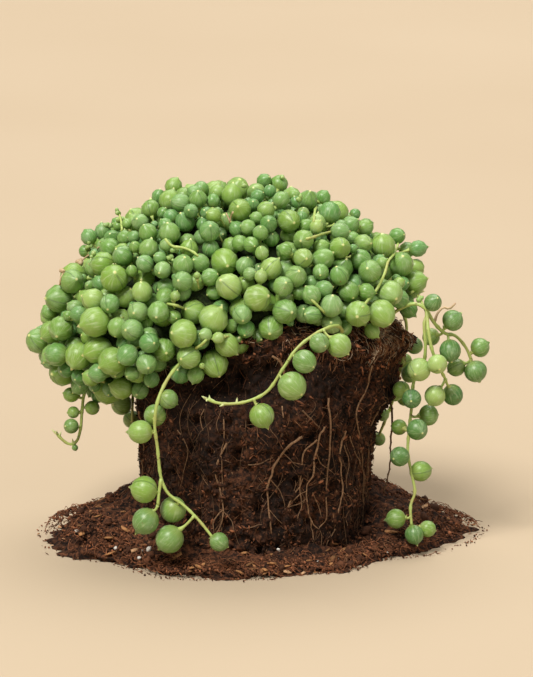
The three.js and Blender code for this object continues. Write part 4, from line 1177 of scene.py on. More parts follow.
class PLANT_OT_wall_roots(bpy.types.Operator):
    """Build the roots that lie on the root ball's wall, with their rootlets and the fine hair roots"""

    bl_idname = "plant.wall_roots"
    bl_label = "Wall roots"

    def execute(self, context):
        soil = context.scene.plant_soil
        crumble, colour = soil.roughness, tuple(soil.root_colour)
        rng = np.random.default_rng(ROOT_SEED)
        routes = [(route, 1) for route in FRONT_ROOTS]
        for i in range(OTHER_ROOTS["count"]):
            routes.append((wandering_route(OTHER_ROOTS["first"] + i * OTHER_ROOTS["step"], rng), -1))
        mains = np.array([wall_route(route, 46, ROOT_LIFT) for route, _ in routes])
        sides = np.array([path for route, side in routes for path in self.side_roots(rng, route, side)])
        first = np.where(np.arange(len(mains)) == 0, 0.9, 0.66)[:, None]
        thick = first * np.linspace(0.5, 0.24, mains.shape[1]) * (1 + 0.25 * lumps(mains, 2.2, 31))
        thin = np.linspace(0.22, 0.08, sides.shape[1]) * rng.uniform(0.6, 1, (len(sides), 1))
        hairs = wall_threads(rng, HAIR_ROOTS, (12, 34), (0.05, 0.12), (0.4, 1.0), 12, crumble, 20, (12, 50))
        fine = wall_threads(rng, FINE_ROOTS, (3, 10), (0.04, 0.09), (0.4, 1.1), 40, crumble, 10, (4, 60))
        seen = np.array([self.seen_root(route) for _, route in SEEN_ROOTS])
        seen_thick = np.array([[radius] for radius, _ in SEEN_ROOTS]) * np.linspace(1.15, 0.6, seen.shape[1])
        hanging = shaken(smooth_route(HANGING_ROOT, 40), (0.25, 1.8, 48))
        clinging = crumbs(rng, hanging[4::2], rng.uniform(0.25, 0.6, (18, 3)), 0.0)
        mains = shaken(mains, (0.9, 5.0, 32), (0.4, 2.0, 36))
        surface = joined([
            tubes(mains, thick, 9, rng.uniform(0.3, 0.6, len(mains))),
            tubes(shaken(sides, (0.6, 3.0, 40)), thin, 6, rng.uniform(0.2, 0.6, len(sides))),
            tubes(*hairs, 5, rng.uniform(0, 0.5, HAIR_ROOTS)),
            tubes(*fine, 4, rng.uniform(0.1, 0.8, FINE_ROOTS)),
            tubes(shaken(seen, (0.35, 2.4, 44)), seen_thick, 6, rng.uniform(0.2, 0.6, len(seen))),
            tubes(hanging[None], np.linspace(0.4, 0.2, 40)[None], 6, 0.05),
            clinging,
        ])
        names = [f"wall_root_{i + 1}" for i in range(len(routes))]
        finish = fibre_finish("root bark", scaled(colour, 0.4), colour, PALE_ROOT)
        add_piece("roots", surface, finish, names)
        return {"FINISHED"}

    def side_roots(self, rng, route, side):
        """The fork at a root's middle, and two rootlets that leave it at random and fall away."""
        fork = route[len(route) // 2]
        forks = [fork, [fork[0] + 5 * side, fork[1] - 5], [fork[0] + 8 * side, fork[1] - 11]]
        paths = [wall_route(forks, 24, ROOT_LIFT)]
        for _ in range(2):
            at = route[rng.integers(1, len(route))]
            way, fall = rng.choice([-1, 1]), rng.uniform(3, 12)
            bend = [at[0] + way * rng.uniform(2, 6), at[1] - 0.4 * fall]
            tip = [at[0] + way * rng.uniform(4, 14), max(at[1] - fall, 3)]
            paths.append(wall_route([at, bend, tip], 24, 0.6))
        return paths

    def seen_root(self, route):
        """A route of picture points carried onto the wall: on each line of sight, the first place that lies
        within the wall's radius, or else the one that comes nearest to it."""
        eye, ways = sight(*np.array(route, float).T)
        away = np.linspace(CAMERA_DISTANCE - 80, CAMERA_DISTANCE, 400)
        line = eye + ways[:, None] * away[None, :, None]
        wall = wall_radius(azimuth_of(line), line[..., 2])
        clear = np.hypot(line[..., 0], line[..., 1]) - wall - ROOT_LIFT
        first = np.where((clear < 0).any(axis=1), (clear < 0).argmax(axis=1), clear.argmin(axis=1))
        return smooth_route(line[np.arange(len(route)), first], 40)


class PLANT_OT_loose_soil(bpy.types.Operator):
    """Build the loose soil round the foot with its crumbs, bark chips and perlite"""

    bl_idname = "plant.loose_soil"
    bl_label = "Loose soil"

    def execute(self, context):
        soil = context.scene.plant_soil
        dark, light, pale = tuple(soil.dark_colour), tuple(soil.light_colour), tuple(soil.fibre_colour)
        bark = tuple(soil.bark_colour)
        litter = fibre_finish("crumbs", scaled(light, 0.5), scaled(light, 2.6), pale)
        rng = np.random.default_rng(HEAP_SEED)
        for name, surface, finish in (
            ("soil_heap", loose_surface(), soil_finish("loose peat", dark, scaled(light, 1.25), pale)),
            ("soil_crumbs", self.crumbs(rng), litter),
            ("soil_threads", self.threads(rng), litter),
            ("bark_chips", self.bark(rng), fibre_finish("bark", scaled(bark, 0.35), bark, PALE_BARK)),
            ("perlite", self.perlite(rng), fibre_finish("perlite", *PERLITE)),
        ):
            add_piece(name, surface, finish, ["loose_soil"])
        return {"FINISHED"}

    def scattered(self, rng, count, size, reach):
        """Random places on the heap, and a few past its edge on the floor, with a size for each."""
        azimuth = rng.uniform(0, 360, count)
        share = np.sqrt(rng.uniform(0.02, 1, count)) * rng.triangular(0.9, 1.0, reach, count)
        radius = np.minimum(crumb_radii(azimuth, share), CRUMB_LIMIT - rng.uniform(0, 6, count))
        sizes = rng.uniform(*size, count) * np.where(share > 0.95, 0.65, 1)
        ground = np.where(share < 0.99, crumb_height(azimuth, np.minimum(share, 1)), 0)
        height = np.maximum(ground + 0.35 * sizes, 0.75 * sizes)
        return round_place(azimuth, radius, height), sizes[:, None]

    def crumbs(self, rng):
        """Grains of soil, flat strips and a few round clods."""
        centres, sizes = self.scattered(rng, GRAINS, (0.15, 0.9), 1.17)
        grains = crumbs(rng, centres, sizes * rng.uniform(0.35, 1, (GRAINS, 3)), rng.beta(1.1, 2.6, GRAINS))
        centres, sizes = self.scattered(rng, STRIPS, (0.2, 0.7), 1.2)
        strips = crumbs(rng, centres, sizes * STRIP, rng.beta(2, 2.4, STRIPS), 0.5, SHARD)
        centres, sizes = self.scattered(rng, CLODS, (0.9, 2.4), 1.0)
        shapes = sizes * rng.uniform(0.6, 1, (CLODS, 3))
        return joined([grains, strips, crumbs(rng, centres, shapes, rng.beta(1, 9, CLODS), template=CLOD)])

    def threads(self, rng):
        """Short bits of fibre that lie on the heap, each a line on the ground with a sway and a low arch."""
        one = (THREADS, 1)
        azimuth, share = rng.uniform(0, 360, one), np.sqrt(rng.uniform(0.02, 1.0, one))
        t = np.linspace(-0.5, 0.5, 6)[None, :]
        reach, way = rng.uniform(1.5, 6, one), rng.uniform(0, 2 * np.pi, one)
        start = round_place(azimuth, crumb_radii(azimuth, share), 0.0)
        around, out = along_ground(start, way, reach * t, 0.25 * reach * np.sin(5 * t + way))
        inner, outer = crumb_radii(around, 0.0), crumb_radii(around, 1.0)
        ground = crumb_height(around, np.clip((out - inner) / (outer - inner), 0, 1))
        arch = rng.uniform(0.2, 1.3, one) * np.cos(t * np.pi)
        paths = round_place(around, np.minimum(out, CRUMB_LIMIT), ground + 0.4 + arch)
        thick = rng.uniform(0.05, 0.14, one) * (1 - 0.5 * (2 * t) ** 2)
        return tubes(paths, thick, 4, rng.beta(1.6, 1.8, THREADS))

    def bark(self, rng):
        """Flat chips of bark."""
        centres, sizes = self.scattered(rng, BARK_CHIPS, (0.6, 1.9), 1.1)
        return crumbs(rng, centres, sizes * CHIP, rng.uniform(0.2, 1, BARK_CHIPS), 0.3)

    def perlite(self, rng):
        """White grains: two at known places in front, the others at random."""
        centres, sizes = self.scattered(rng, PERLITE_GRAINS, (0.4, 1.1), 1.0)
        centres[:2] = [[-34.2, -33.5, 5.2], [6, -38.6, 6.4]]
        sizes[:2] = [[1.4], [0.9]]
        return crumbs(rng, centres, sizes * rng.uniform(0.7, 1, (PERLITE_GRAINS, 3)), 0.5)


# Pearls, strands and crown

CROWN_SEED = 20931
STRAND_SEED = 100
CROWN_RINGS = (33, 68, 103, 138, 167)
STRAND_RINGS = (14, 32, 50, 68, 86, 104, 122, 140, 156, 168)
BUD_RINGS = (50, 100, 145)
STEM_SPACING = 0.9
STALK_THICKNESS = ([0, 0.15, 0.7, 1], [1.3, 0.85, 0.85, 2.0])
BRACT_THICKNESS = (0.3, 0.42, 0.36, 0.2, 0.04)
BRACT_COLOURS = ((0.58, 0.66, 0.3), (0.56, 0.48, 0.24))
DRY_COLOURS = ((0.55, 0.4, 0.24), (0.36, 0.19, 0.09))
# Near-black colours of the shell inside the crown: painted shade
INNER_SHADE_COLOURS = ((0.008, 0.014, 0.004), (0.05, 0.075, 0.02), (0.12, 0.12, 0.04))
HEART_DEPTH = 7.5
HEART_WAVES = ((1.1, 5.0, 41), (0.8, 2.4, 42))
CROWN_MIDDLE = np.array([CROWN_AXIS_X, 0, 70.0])
RUNNERS = 16

# Where a stalk ends, as a share of its pearl's radius from the middle
STALK_END = 0.93

# How near a line of sight passes to the dome to meet it, in picture points
ON_DOME = 3.5

# The pearls that the camera sees: how much larger they are made than they were drawn, how far back a layer
# lies, the room they keep as a share of both radii together, and how far a tip reaches in radii
SEEN_GROWTH = 1.05
LAYER_STEP = 2.2
SEEN_ROOM = 0.93
TIP_REACH = 1.12

# How the crown's other pearls are packed, one pass a row: tries, least and greatest growth, least and
# greatest depth in the dome, and the room kept to the other pearls as a share of both radii together
PACKING = [
    (2600, 0.83, 1.0, (-0.4, 1.2), 0.97),
    (7000, 0.6, 0.83, (-0.8, 1.6), 0.97),
    (9000, 0.35, 0.6, (-1.2, 1.6), 0.96),
    (9000, 0.0, 0.35, (-1.4, 2.4), 0.95),
    (8000, 0.35, 0.9, (4.6, 7.5), 0.88),
    (5000, 0.1, 0.5, (4.6, 8.0), 0.86),
    (9000, -0.35, 0.25, (1.0, 6.8), 0.97),
    (2500, 0.4, 0.9, (0.8, 3.2), 0.93),
    (2500, 0.1, 0.5, (0.8, 3.6), 0.92),
]

# The first pass of those that fill the dome, the one that fills the gaps, and the first on the soil's rim
FIRST_FILLING = 4
GAP_FILLING = 6
FIRST_ON_RIM = 7

# The camera's directions: along its line, up in the picture and to the right, and the camera's place
CAMERA_LIFT = np.radians(CAMERA_ELEVATION)
FORWARD = np.array([0, np.cos(CAMERA_LIFT), -np.sin(CAMERA_LIFT)])
UPWARD = np.array([0, np.sin(CAMERA_LIFT), np.cos(CAMERA_LIFT)])
RIGHTWARD = np.array([1.0, 0, 0])
EYE = np.array(LOOK_AT) - FORWARD * CAMERA_DISTANCE


def pearl_surface(rng, centres, radii, directions, tone, pale, sides=12, angles=CROWN_RINGS):
    """Pearls: balls a little longer or flatter than round, with the far end drawn out to a small point, that
    face the given directions. Each point's place is kept as it is on a pearl of radius 1."""
    template = round_template(sides, angles)
    count = len(centres)
    points = np.repeat(template.points[None], count, axis=0)
    points[:, -1, 2] = rng.uniform(1.12, 1.3, count)
    flatten = rng.normal(1.0, 0.035, (count, 1))
    points[..., :2] *= (1 + 0.02 * rng.normal(size=(count, 1, 1)))
    points[..., 2] *= flatten
    narrow = rng.uniform(-0.05, 0.09, (count, 1))
    points[..., :2] *= (1 - narrow * np.maximum(points[..., 2], 0))[..., None]
    turns = frames_on(directions, rng.uniform(0, 2 * np.pi, count))
    points = np.einsum("nij,nkj->nki", turns, points * radii[:, None, None])
    place = template.points.copy()
    place[-1, 2] = 1.15
    return repeated(template, points, centres, tone, place, pale)


def hanging_strand(spec, next_number):
    """A strand that hangs down behind the plant: its route at one radius, swaying by a sine as it falls, and
    a pearl on alternate sides at uneven steps, smaller towards the foot."""
    route = list(HANGING_BEND)
    height = HANGING_START
    while height > spec["foot"]:
        route.append([HANGING_RADIUS, height])
        height -= HANGING_STEP
    route.append([HANGING_RADIUS, spec["foot"]])
    points = []
    for radius, z in route:
        fallen = max(0, 1 - z / HANGING_START)
        a = np.radians(spec["azimuth"] + spec["drift"] * np.sin(fallen * 4))
        points.append([radius * np.cos(a), radius * np.sin(a), z])
    places = smooth_route(points, 121)
    pearls, side, height = [], 1, HANGING_START - 1
    while height > spec["foot"] - 2:
        on = places[np.argmin(np.abs(places[:, 2] - height))]
        radius = 2.4 + 1.5 * ((height - spec["foot"]) / (HANGING_START - spec["foot"])) + 0.5 * next_number()
        a = np.arctan2(on[1], on[0]) + side * (0.9 + 0.5 * next_number())
        away = radius + 1.15
        pearls.append([on[0] + away * np.cos(a), on[1] + away * np.sin(a), on[2] - 1.2, radius])
        side = -side
        height -= HANGING_PEARL_STEP * (0.85 + 0.3 * next_number())
    return {"branches": [points], "pearls": pearls}


def number_source(seed):
    """Numbers between 0 and 1 from the minimal standard generator: each state is the last times 16807,
    modulo the largest 31-bit prime."""
    state = [seed]

    def next_number():
        """The next number between 0 and 1."""
        state[0] = state[0] * 16807 % 2147483647
        return state[0] / 2147483647

    return next_number


def all_strands():
    """The strands that the camera sees, and those behind the plant."""
    next_number = number_source(HANGING_SEED)
    strands = dict(STRANDS)
    for spec in HANGING:
        strands[spec["name"]] = hanging_strand(spec, next_number)
    return strands


def stem_surface(route, radius, sides=9):
    """A stem along a route and its path: it thins evenly, and thickens at a knot every few millimetres by
    the sixth power of a sine."""
    length = np.linalg.norm(np.diff(np.array(route, float), axis=0), axis=1).sum()
    path = smooth_route(route, max(6, int(length / STEM_SPACING)))
    share = np.linspace(0, 1, len(path))
    knots = 0.35 * np.maximum(np.sin(share * length / 5.5 * np.pi * 2), 0) ** 6
    thick = radius * between(1.05, 0.8, share) * (1 + knots)
    return tubes(path[None], thick[None], sides), path


def bracts(rng, path, shares):
    """Small pointed bracts near a strand's bare end: cones that lean forwards and outwards."""
    along = np.array(shares)
    at = np.round(along * (len(path) - 1)).astype(int)
    forward = unit(path[np.minimum(at + 1, len(path) - 1)] - path[np.maximum(at - 1, 0)])
    ways = unit(0.7 * forward + unit(rng.normal(size=(len(at), 3))))
    t = np.linspace(0, 1, 5)[None, :, None]
    paths = path[at][:, None] + ways[:, None] * t * rng.uniform(1.3, 2.3, (len(at), 1, 1))
    paths[..., 2] += 0.35 * t[..., 0] ** 2
    return tubes(paths, np.array([BRACT_THICKNESS]), 6)


def petioles(feet, ends, thick, sag=0.4, sides=6, stations=7):
    """Short stalks from stem to pearl: a straight line that bows down by a sine, widening into the pearl."""
    t = np.linspace(0, 1, stations)[None, :, None]
    paths = between(feet[:, None], ends[:, None], t)
    paths[..., 2] -= sag * np.sin(t[..., 0] * np.pi)
    shape = np.interp(t[0, :, 0], *STALK_THICKNESS)
    return tubes(paths, thick[:, None] * shape[None], sides)


class PLANT_OT_strands(bpy.types.Operator):
    """Build the trailing strands: stems, stalks, pearls, and bracts at two of the tips"""

    bl_idname = "plant.strands"
    bl_label = "Trailing strands"

    def execute(self, context):
        pearls = context.scene.plant_pearls
        # The strands' pearls take the crown's colours with the young one darkened: painted shade
        skin = pearl_finish("strand pearl skin with painted shade", tuple(pearls.ripe_colour), scaled(pearls.young_colour, 0.68))
        bark = stem_finish("strand stem", tuple(pearls.stem_colour), tuple(pearls.dry_colour))
        husk = stem_finish("bracts", *BRACT_COLOURS)
        for index, (name, strand) in enumerate(all_strands().items()):
            rng = np.random.default_rng(STRAND_SEED + index)
            stems, paths = zip(*[stem_surface(route, STEM_RADIUS) for route in strand["branches"]])
            on_stem = np.vstack(paths)
            spots = np.array([row[:4] for row in strand["pearls"]], float)
            centres, radii = spots[:, :3], spots[:, 3]
            apart = np.linalg.norm(on_stem[None] - centres[:, None], axis=-1)
            feet = on_stem[np.argmin(apart, axis=1)]
            directions = unit(centres - feet)
            ends = centres - directions * (radii * STALK_END)[:, None]
            stalks = petioles(feet, ends, np.full(len(spots), 0.5))
            tone, pale = rng.uniform(0.1, 0.7, len(spots)), rng.uniform(0, 0.4, len(spots))
            for i, row in enumerate(strand["pearls"]):
                if len(row) > 4:
                    tone[i], pale[i] = row[4:]
            balls = pearl_surface(rng, centres, radii, directions, tone, pale, 20, STRAND_RINGS)
            pieces = [("stem", joined([*stems, stalks]), bark), ("pearls", balls, skin)]
            if name in BRACT_SHARES:
                pieces.append(("bracts", bracts(rng, paths[0], BRACT_SHARES[name]), husk))
            for end, surface, finish in pieces:
                add_piece(f"{name}_{end}", surface, finish, [name])
        return {"FINISHED"}


def sight(across, down):
    """The camera's place, and unit directions from it through picture points: its line, plus a share of
    right and of up."""
    right = (np.asarray(across, float) - PICTURE_MIDDLE[0]) / PICTURE_SCALE / CAMERA_DISTANCE
    rise = (PICTURE_MIDDLE[1] - np.asarray(down, float)) / PICTURE_SCALE / CAMERA_DISTANCE
    return EYE, unit(FORWARD + right[..., None] * RIGHTWARD + rise[..., None] * UPWARD)


def picture_points(points):
    """Where points show in the picture, [across, down], and how far they are along the camera's line."""
    from_eye = points - EYE
    depth = from_eye @ sight(*PICTURE_MIDDLE)[1]
    scale = PICTURE_SCALE * CAMERA_DISTANCE / depth
    return PICTURE_MIDDLE[0] + from_eye[:, 0] * scale, PICTURE_MIDDLE[1] - (from_eye @ UPWARD) * scale, depth


def on_dome(across, down):
    """The distance from the camera at which the line through each picture point first meets the dome, or
    passes nearest to it."""
    azimuth, psi = np.meshgrid(np.linspace(0, 360, 361), np.linspace(0, 1, 91))
    psi = psi * round_stations(CROWN_HEM, azimuth)
    surface = crown_place(azimuth, psi, np.zeros_like(psi)).reshape(-1, 3)
    right, low, depth = picture_points(surface)
    apart = np.hypot(right[None] - across[:, None], low[None] - down[:, None])
    first = np.where(apart < ON_DOME, depth[None], np.inf).argmin(axis=1)
    chosen = np.where((apart < ON_DOME).any(axis=1), first, apart.argmin(axis=1))
    return np.linalg.norm(surface[chosen] - EYE, axis=1)


def on_pearls(across, down, pearls):
    """The distance from the camera at which the line through each picture point first meets a pearl, or else
    the distance of the pearl that it passes nearest to."""
    eye, ways = sight(across, down)
    offset = eye - pearls[:, :3]
    half = ways @ offset.T
    inside = half ** 2 - (np.einsum("ij,ij->i", offset, offset) - pearls[:, 3] ** 2)
    first = np.where(inside > 0, -half - np.sqrt(np.maximum(inside, 0)), np.inf).min(axis=1)
    nearest = -half[np.arange(len(half)), inside.argmax(axis=1)]
    return np.where(np.isfinite(first), first, nearest)


def settled(away, ways, eye, radius, kept, room):
    """The least distance, from a first one on, at which a ball on a line of sight clears the balls kept:
    each blocks the stretch where the two centres are closer than room times their radii together."""
    offset = eye - kept[:, :3]
    half = offset @ ways
    reach = room * (kept[:, 3] + radius)
    inside = half ** 2 - (np.einsum("ij,ij->i", offset, offset) - reach ** 2)
    blocking = inside > 0
    low = -half[blocking] - np.sqrt(inside[blocking])
    high = -half[blocking] + np.sqrt(inside[blocking])
    while True:
        hit = (low < away) & (high > away)
        if not hit.any():
            return away
        away = high[hit].max() + 1e-3


def strand_pearls():
    """Every pearl of the strands as [x, y, z, radius]."""
    return np.array([row[:4] for strand in all_strands().values() for row in strand["pearls"]], float)


def seen_pearls():
    """The pearls that the camera sees as [x, y, z, radius], their youth, paleness and tip directions. Each
    starts on the dome and moves back along its line of sight until it clears those in front of it. A tip
    leans sideways by its own share of the radius, and towards the camera by what is left of a unit."""
    across, down, size, layer, youth, pale = np.array([row[:6] for row in SEEN_PEARLS], float).T
    lean = np.array([row[6:] or [np.nan, np.nan] for row in SEEN_PEARLS], float)
    eye, ways = sight(across, down)
    start = on_dome(across, down)
    kept = strand_pearls()
    places = np.zeros((len(size), 4))
    for i in np.lexsort((start, np.maximum(layer, 0))):
        radius = SEEN_GROWTH * size[i] / PICTURE_SCALE * start[i] / CAMERA_DISTANCE
        first = start[i] + LAYER_STEP * layer[i] + 0.4 * (radius - 3.3)
        away = settled(first, ways[i], eye, radius, kept, SEEN_ROOM)
        places[i] = [*(eye + ways[i] * away), radius]
        kept = np.vstack([kept, places[i]])
    sideways = lean / (TIP_REACH * size[:, None])
    ahead = np.sqrt(np.maximum(1 - (sideways ** 2).sum(axis=1), 0.03))
    tips = sideways[:, :1] * RIGHTWARD - sideways[:, 1:] * UPWARD - ahead[:, None] * FORWARD
    return places, youth, pale, tips


def packed_pearls(rng, pearls, kept):
    """Centres, radii and passes of the crown's other pearls: random places are tried, the largest pearls
    first, and one is kept where it clears the pearls kept before it and the soil, and isn't in the camera's
    sight. The first four passes cover the dome, two fill it, one fills the gaps behind the seen pearls, and
    the last two rest on the soil's rim under the hem."""
    count = len(kept)
    seen = np.array([row[:3] for row in SEEN_PEARLS], float)
    seen_depth = picture_points(kept[-len(seen):, :3])[2]
    toward = -sight(*PICTURE_MIDDLE)[1]
    layers = []
    for layer, (tries, low, high, depths, room) in enumerate(PACKING):
        azimuth = rng.uniform(0, 360, tries)
        hem = round_stations(CROWN_HEM, azimuth)
        psi = np.degrees(np.arccos(1 - rng.uniform(0, 1, tries) * (1 - np.cos(np.radians(hem)))))
        grown = np.clip(rng.uniform(low, high, tries) - 0.28 * bell(psi, 42), min(low, 0), 1)
        radius = between(pearls.smallest, pearls.largest, grown)
        centre = crown_place(azimuth, psi, rng.uniform(*depths, tries) + 0.3 * (radius - 3))
        if layer >= FIRST_ON_RIM:
            azimuth, inward = rng.uniform(*HEM_GAP, tries), rng.uniform(0.74, 1, tries)
            centre = top_place(azimuth, inward, 0.0, radius * rng.uniform(*depths, tries))
        turned = azimuth_of(centre)
        out = np.hypot(centre[:, 0], centre[:, 1])
        rim = wall_radius(turned, np.minimum(centre[:, 2], BALL_TOP))
        above = centre[:, 2] - radius * 0.7 > soil_top(np.minimum(out / rim, 1), turned)
        clear = above | (out - radius > rim + 0.35)
        facing = unit(centre - CROWN_MIDDLE) @ toward
        across, down, depth = picture_points(centre)
        apart = np.hypot(seen[None, :, 0] - across[:, None], seen[None, :, 1] - down[:, None])
        covered = apart + 0.45 * radius[:, None] * PICTURE_SCALE < seen[None, :, 2] + 3
        behind = (covered & (depth[:, None] > seen_depth + 1)).any(axis=1)
        if layer < FIRST_FILLING:
            clear &= (behind & (facing < 0.75)) | (facing < -0.45)
        elif layer < GAP_FILLING:
            clear &= covered.any(axis=1) | (facing < -0.2) | (facing > 0.5)
        elif layer < FIRST_ON_RIM:
            clear &= behind
        else:
            clear = (behind | (centre[:, 1] > 6)) & (centre[:, 2] < 82)
        for i in np.flatnonzero(clear):
            apart = np.linalg.norm(kept[:, :3] - centre[i], axis=1)
            if (apart > room * (kept[:, 3] + radius[i])).all():
                kept = np.vstack([kept, [*centre[i], radius[i]]])
                layers.append(layer)
    return kept[count:, :3], kept[count:, 3], np.array(layers)


def crown_shade_shell():
    """The tangle inside the crown as a near-black shell, its darkness painted shade for the depths between
    the pearls: the dome a few millimetres in, down to its hem and closed across below, with lumps."""
    azimuth = np.linspace(0, 360, 160, endpoint=False)[None, :] + np.zeros((70, 1))
    share = np.linspace(0.02, 1, 70)[:, None]
    depth = np.full(azimuth.shape, HEART_DEPTH)
    dome = crown_place(azimuth, share * round_stations(CROWN_HEM, azimuth), depth)
    dome = dome + unit(dome - CROWN_MIDDLE) * swells(dome, HEART_WAVES)[..., None]
    centre = np.array([CROWN_AXIS_X, 0, 62.0])
    under = centre + (dome[-1][None] - centre) * np.linspace(0.9, 0.1, 8)[:, None, None]
    top = crown_place(np.array(0.0), np.array(0.0), np.array(HEART_DEPTH))
    return polar_surface(np.concatenate([dome, under]), [top], [centre], 0.3)


class PLANT_OT_crown(bpy.types.Operator):
    """Build the crown: its outer and inner pearls, stalks, stems, dry bits and a near-black shell inside,
    painted shade for the tangle there
    """

    bl_idname = "plant.crown"
    bl_label = "Crown"

    def execute(self, context):
        pearls = context.scene.plant_pearls
        rng = np.random.default_rng(CROWN_SEED)
        seen, seen_tone, seen_pale, tips = seen_pearls()
        other, other_radii, layers = packed_pearls(rng, pearls, np.vstack([strand_pearls(), seen]))
        centres = np.vstack([seen[:, :3], other])
        radii = np.concatenate([seen[:, 3], other_radii])
        count = len(centres)
        level = round_stations(CROWN_LEVEL, azimuth_of(centres - [CROWN_AXIS_X, 0, 0]))
        heart = np.stack([np.full(count, CROWN_AXIS_X), np.zeros(count), level - 6], axis=-1)
        outward = unit(centres - heart)
        directions = unit(outward + 0.75 * unit(rng.normal(size=(count, 3))) + [0, 0, -0.1])
        known = np.flatnonzero(~np.isnan(tips[:, 0]))
        directions[known] = unit(tips[known])
        size = (other_radii - pearls.smallest) / (pearls.largest - pearls.smallest)
        tone = np.concatenate([seen_tone, np.clip(1 - size + rng.normal(0, 0.28, len(other)), 0, 1)])
        pale = np.concatenate([seen_pale, rng.beta(1.2, 3.0, len(other))])
        marks = (centres, radii, directions, tone, pale)
        outer = np.concatenate([np.ones(len(seen), bool), layers < FIRST_FILLING])
        balls = pearl_surface(rng, *(mark[outer] for mark in marks))
        balls = joined([balls, self.buds(rng, False, seen)])
        inner = pearl_surface(rng, *(mark[~outer] for mark in marks))
        ends = centres - directions * (radii * STALK_END)[:, None]
        feet = ends - unit(directions + 1.2 * outward) * rng.uniform(2.0, 5.0, (count, 1))
        stems = [petioles(feet, ends, rng.uniform(0.3, 0.45, count), 0.0, 4, 5), self.runners(rng),
                 *self.routed_stems(SEEN_STEMS, 0.44, seen),
                 *self.routed_stems([FREE_STEM], 0.4, seen, True)]
        dry = [*self.routed_stems(DRY_TWIGS, 0.28, seen, True), stem_surface(HUSK, 0.4, 7)[0],
               self.buds(rng, True, seen)]
        skin = pearl_finish("pearl skin", tuple(pearls.ripe_colour), tuple(pearls.young_colour))
        bark = stem_finish("crown stem", tuple(pearls.stem_colour), tuple(pearls.dry_colour))
        for name, surface, finish, nodes in (
            ("crown_pearls", balls, skin, ["crown"]),
            ("crown_inner_pearls", inner, skin, ["crown"]),
            ("crown_stems", joined(stems), bark, ["crown"]),
            ("dry_bits", joined(dry), stem_finish("dry bits", *DRY_COLOURS), ["crown", "strand_right"]),
            ("crown_shade_shell", crown_shade_shell(), soil_finish("painted shade inside crown", *INNER_SHADE_COLOURS), ["crown"]),
        ):
            add_piece(name, surface, finish, nodes)
        return {"FINISHED"}

    def routed_stems(self, routes, radius, carriers, free=False):
        """Stems that lie on the pearls that the camera sees: each route starts inside a pearl, keeps to the
        pearls' front or the mean with its neighbours, whichever is nearer, and ends inside a pearl or
        free."""
        stems = []
        for route in routes:
            whole = [[*route[0][:2], -2.5], *route]
            if not free:
                whole.append([*route[-1][:2], -2.5])
            across, down, out = np.array(whole, float).T
            eye, ways = sight(across, down)
            front = on_pearls(across, down, carriers)
            padded = np.pad(front, 1, mode="edge")
            away = np.minimum(front, (padded[:-2] + 2 * front + padded[2:]) / 4) - out
            stems.append(stem_surface(eye + ways * away[:, None], radius, 7)[0])
        return stems

    def buds(self, rng, dry, carriers):
        """Clusters of tiny buds at picture points: each bud lies a random way from its cluster's middle."""
        rows = [row for row in BUDS if (row[4] > 0.5) == dry]
        across, down, out, count, _ = np.array(rows, float).T
        eye, ways = sight(across, down)
        middles = eye + ways * (on_pearls(across, down, carriers) - out)[:, None]
        middles = np.repeat(middles, count.astype(int), axis=0)
        ways = unit(rng.normal(size=middles.shape) + [0, -0.4, 0.5])
        count = len(middles)
        radii = rng.uniform(0.5, 1.0, count)
        centres = middles + ways * rng.uniform(0.2, 1.2, (count, 1))
        tone, pale = rng.uniform(0.1, 0.5, count), rng.uniform(0.5, 1, count)
        return pearl_surface(rng, centres, radii, ways, tone, pale, 7, BUD_RINGS)

    def runners(self, rng):
        """Stems that run over the dome among the pearls: arcs of azimuth and angle with a slow sway."""
        one = (RUNNERS, 1)
        t = np.linspace(0, 1, 26)[None, :]
        azimuth = rng.uniform(10, 170, one) + rng.uniform(-28, 28, one) * t
        psi = rng.uniform(15, 75, one) + rng.uniform(15, 42, one) * t
        azimuth = azimuth + rng.uniform(-4, 4, one) * np.sin(t * rng.uniform(4, 9, one))
        depth = rng.uniform(0.5, 3.5, one) - 3.0 * np.sin(t * np.pi) * rng.uniform(0.3, 1.1, one)
        return tubes(crown_place(azimuth, psi, depth), between(0.62, 0.45, t), 7)


# Stage

LIGHTS = (
    ("key light", (-0.35, -0.62, 1.0), 3.52, 24),
    ("fill light", (0.8, -0.7, 0.6), 0.5, 60),
    ("top light", (0.1, 0.5, 1.0), 1.95, 50),
)
LIGHT_COLOUR = (1.0, 0.965, 0.91)
ROOM_COLOUR = (1.0, 0.93, 0.84, 1)
ROOM_STRENGTH = 0.165
FLOOR_MOTTLE = (1, 0.9, 0.75)


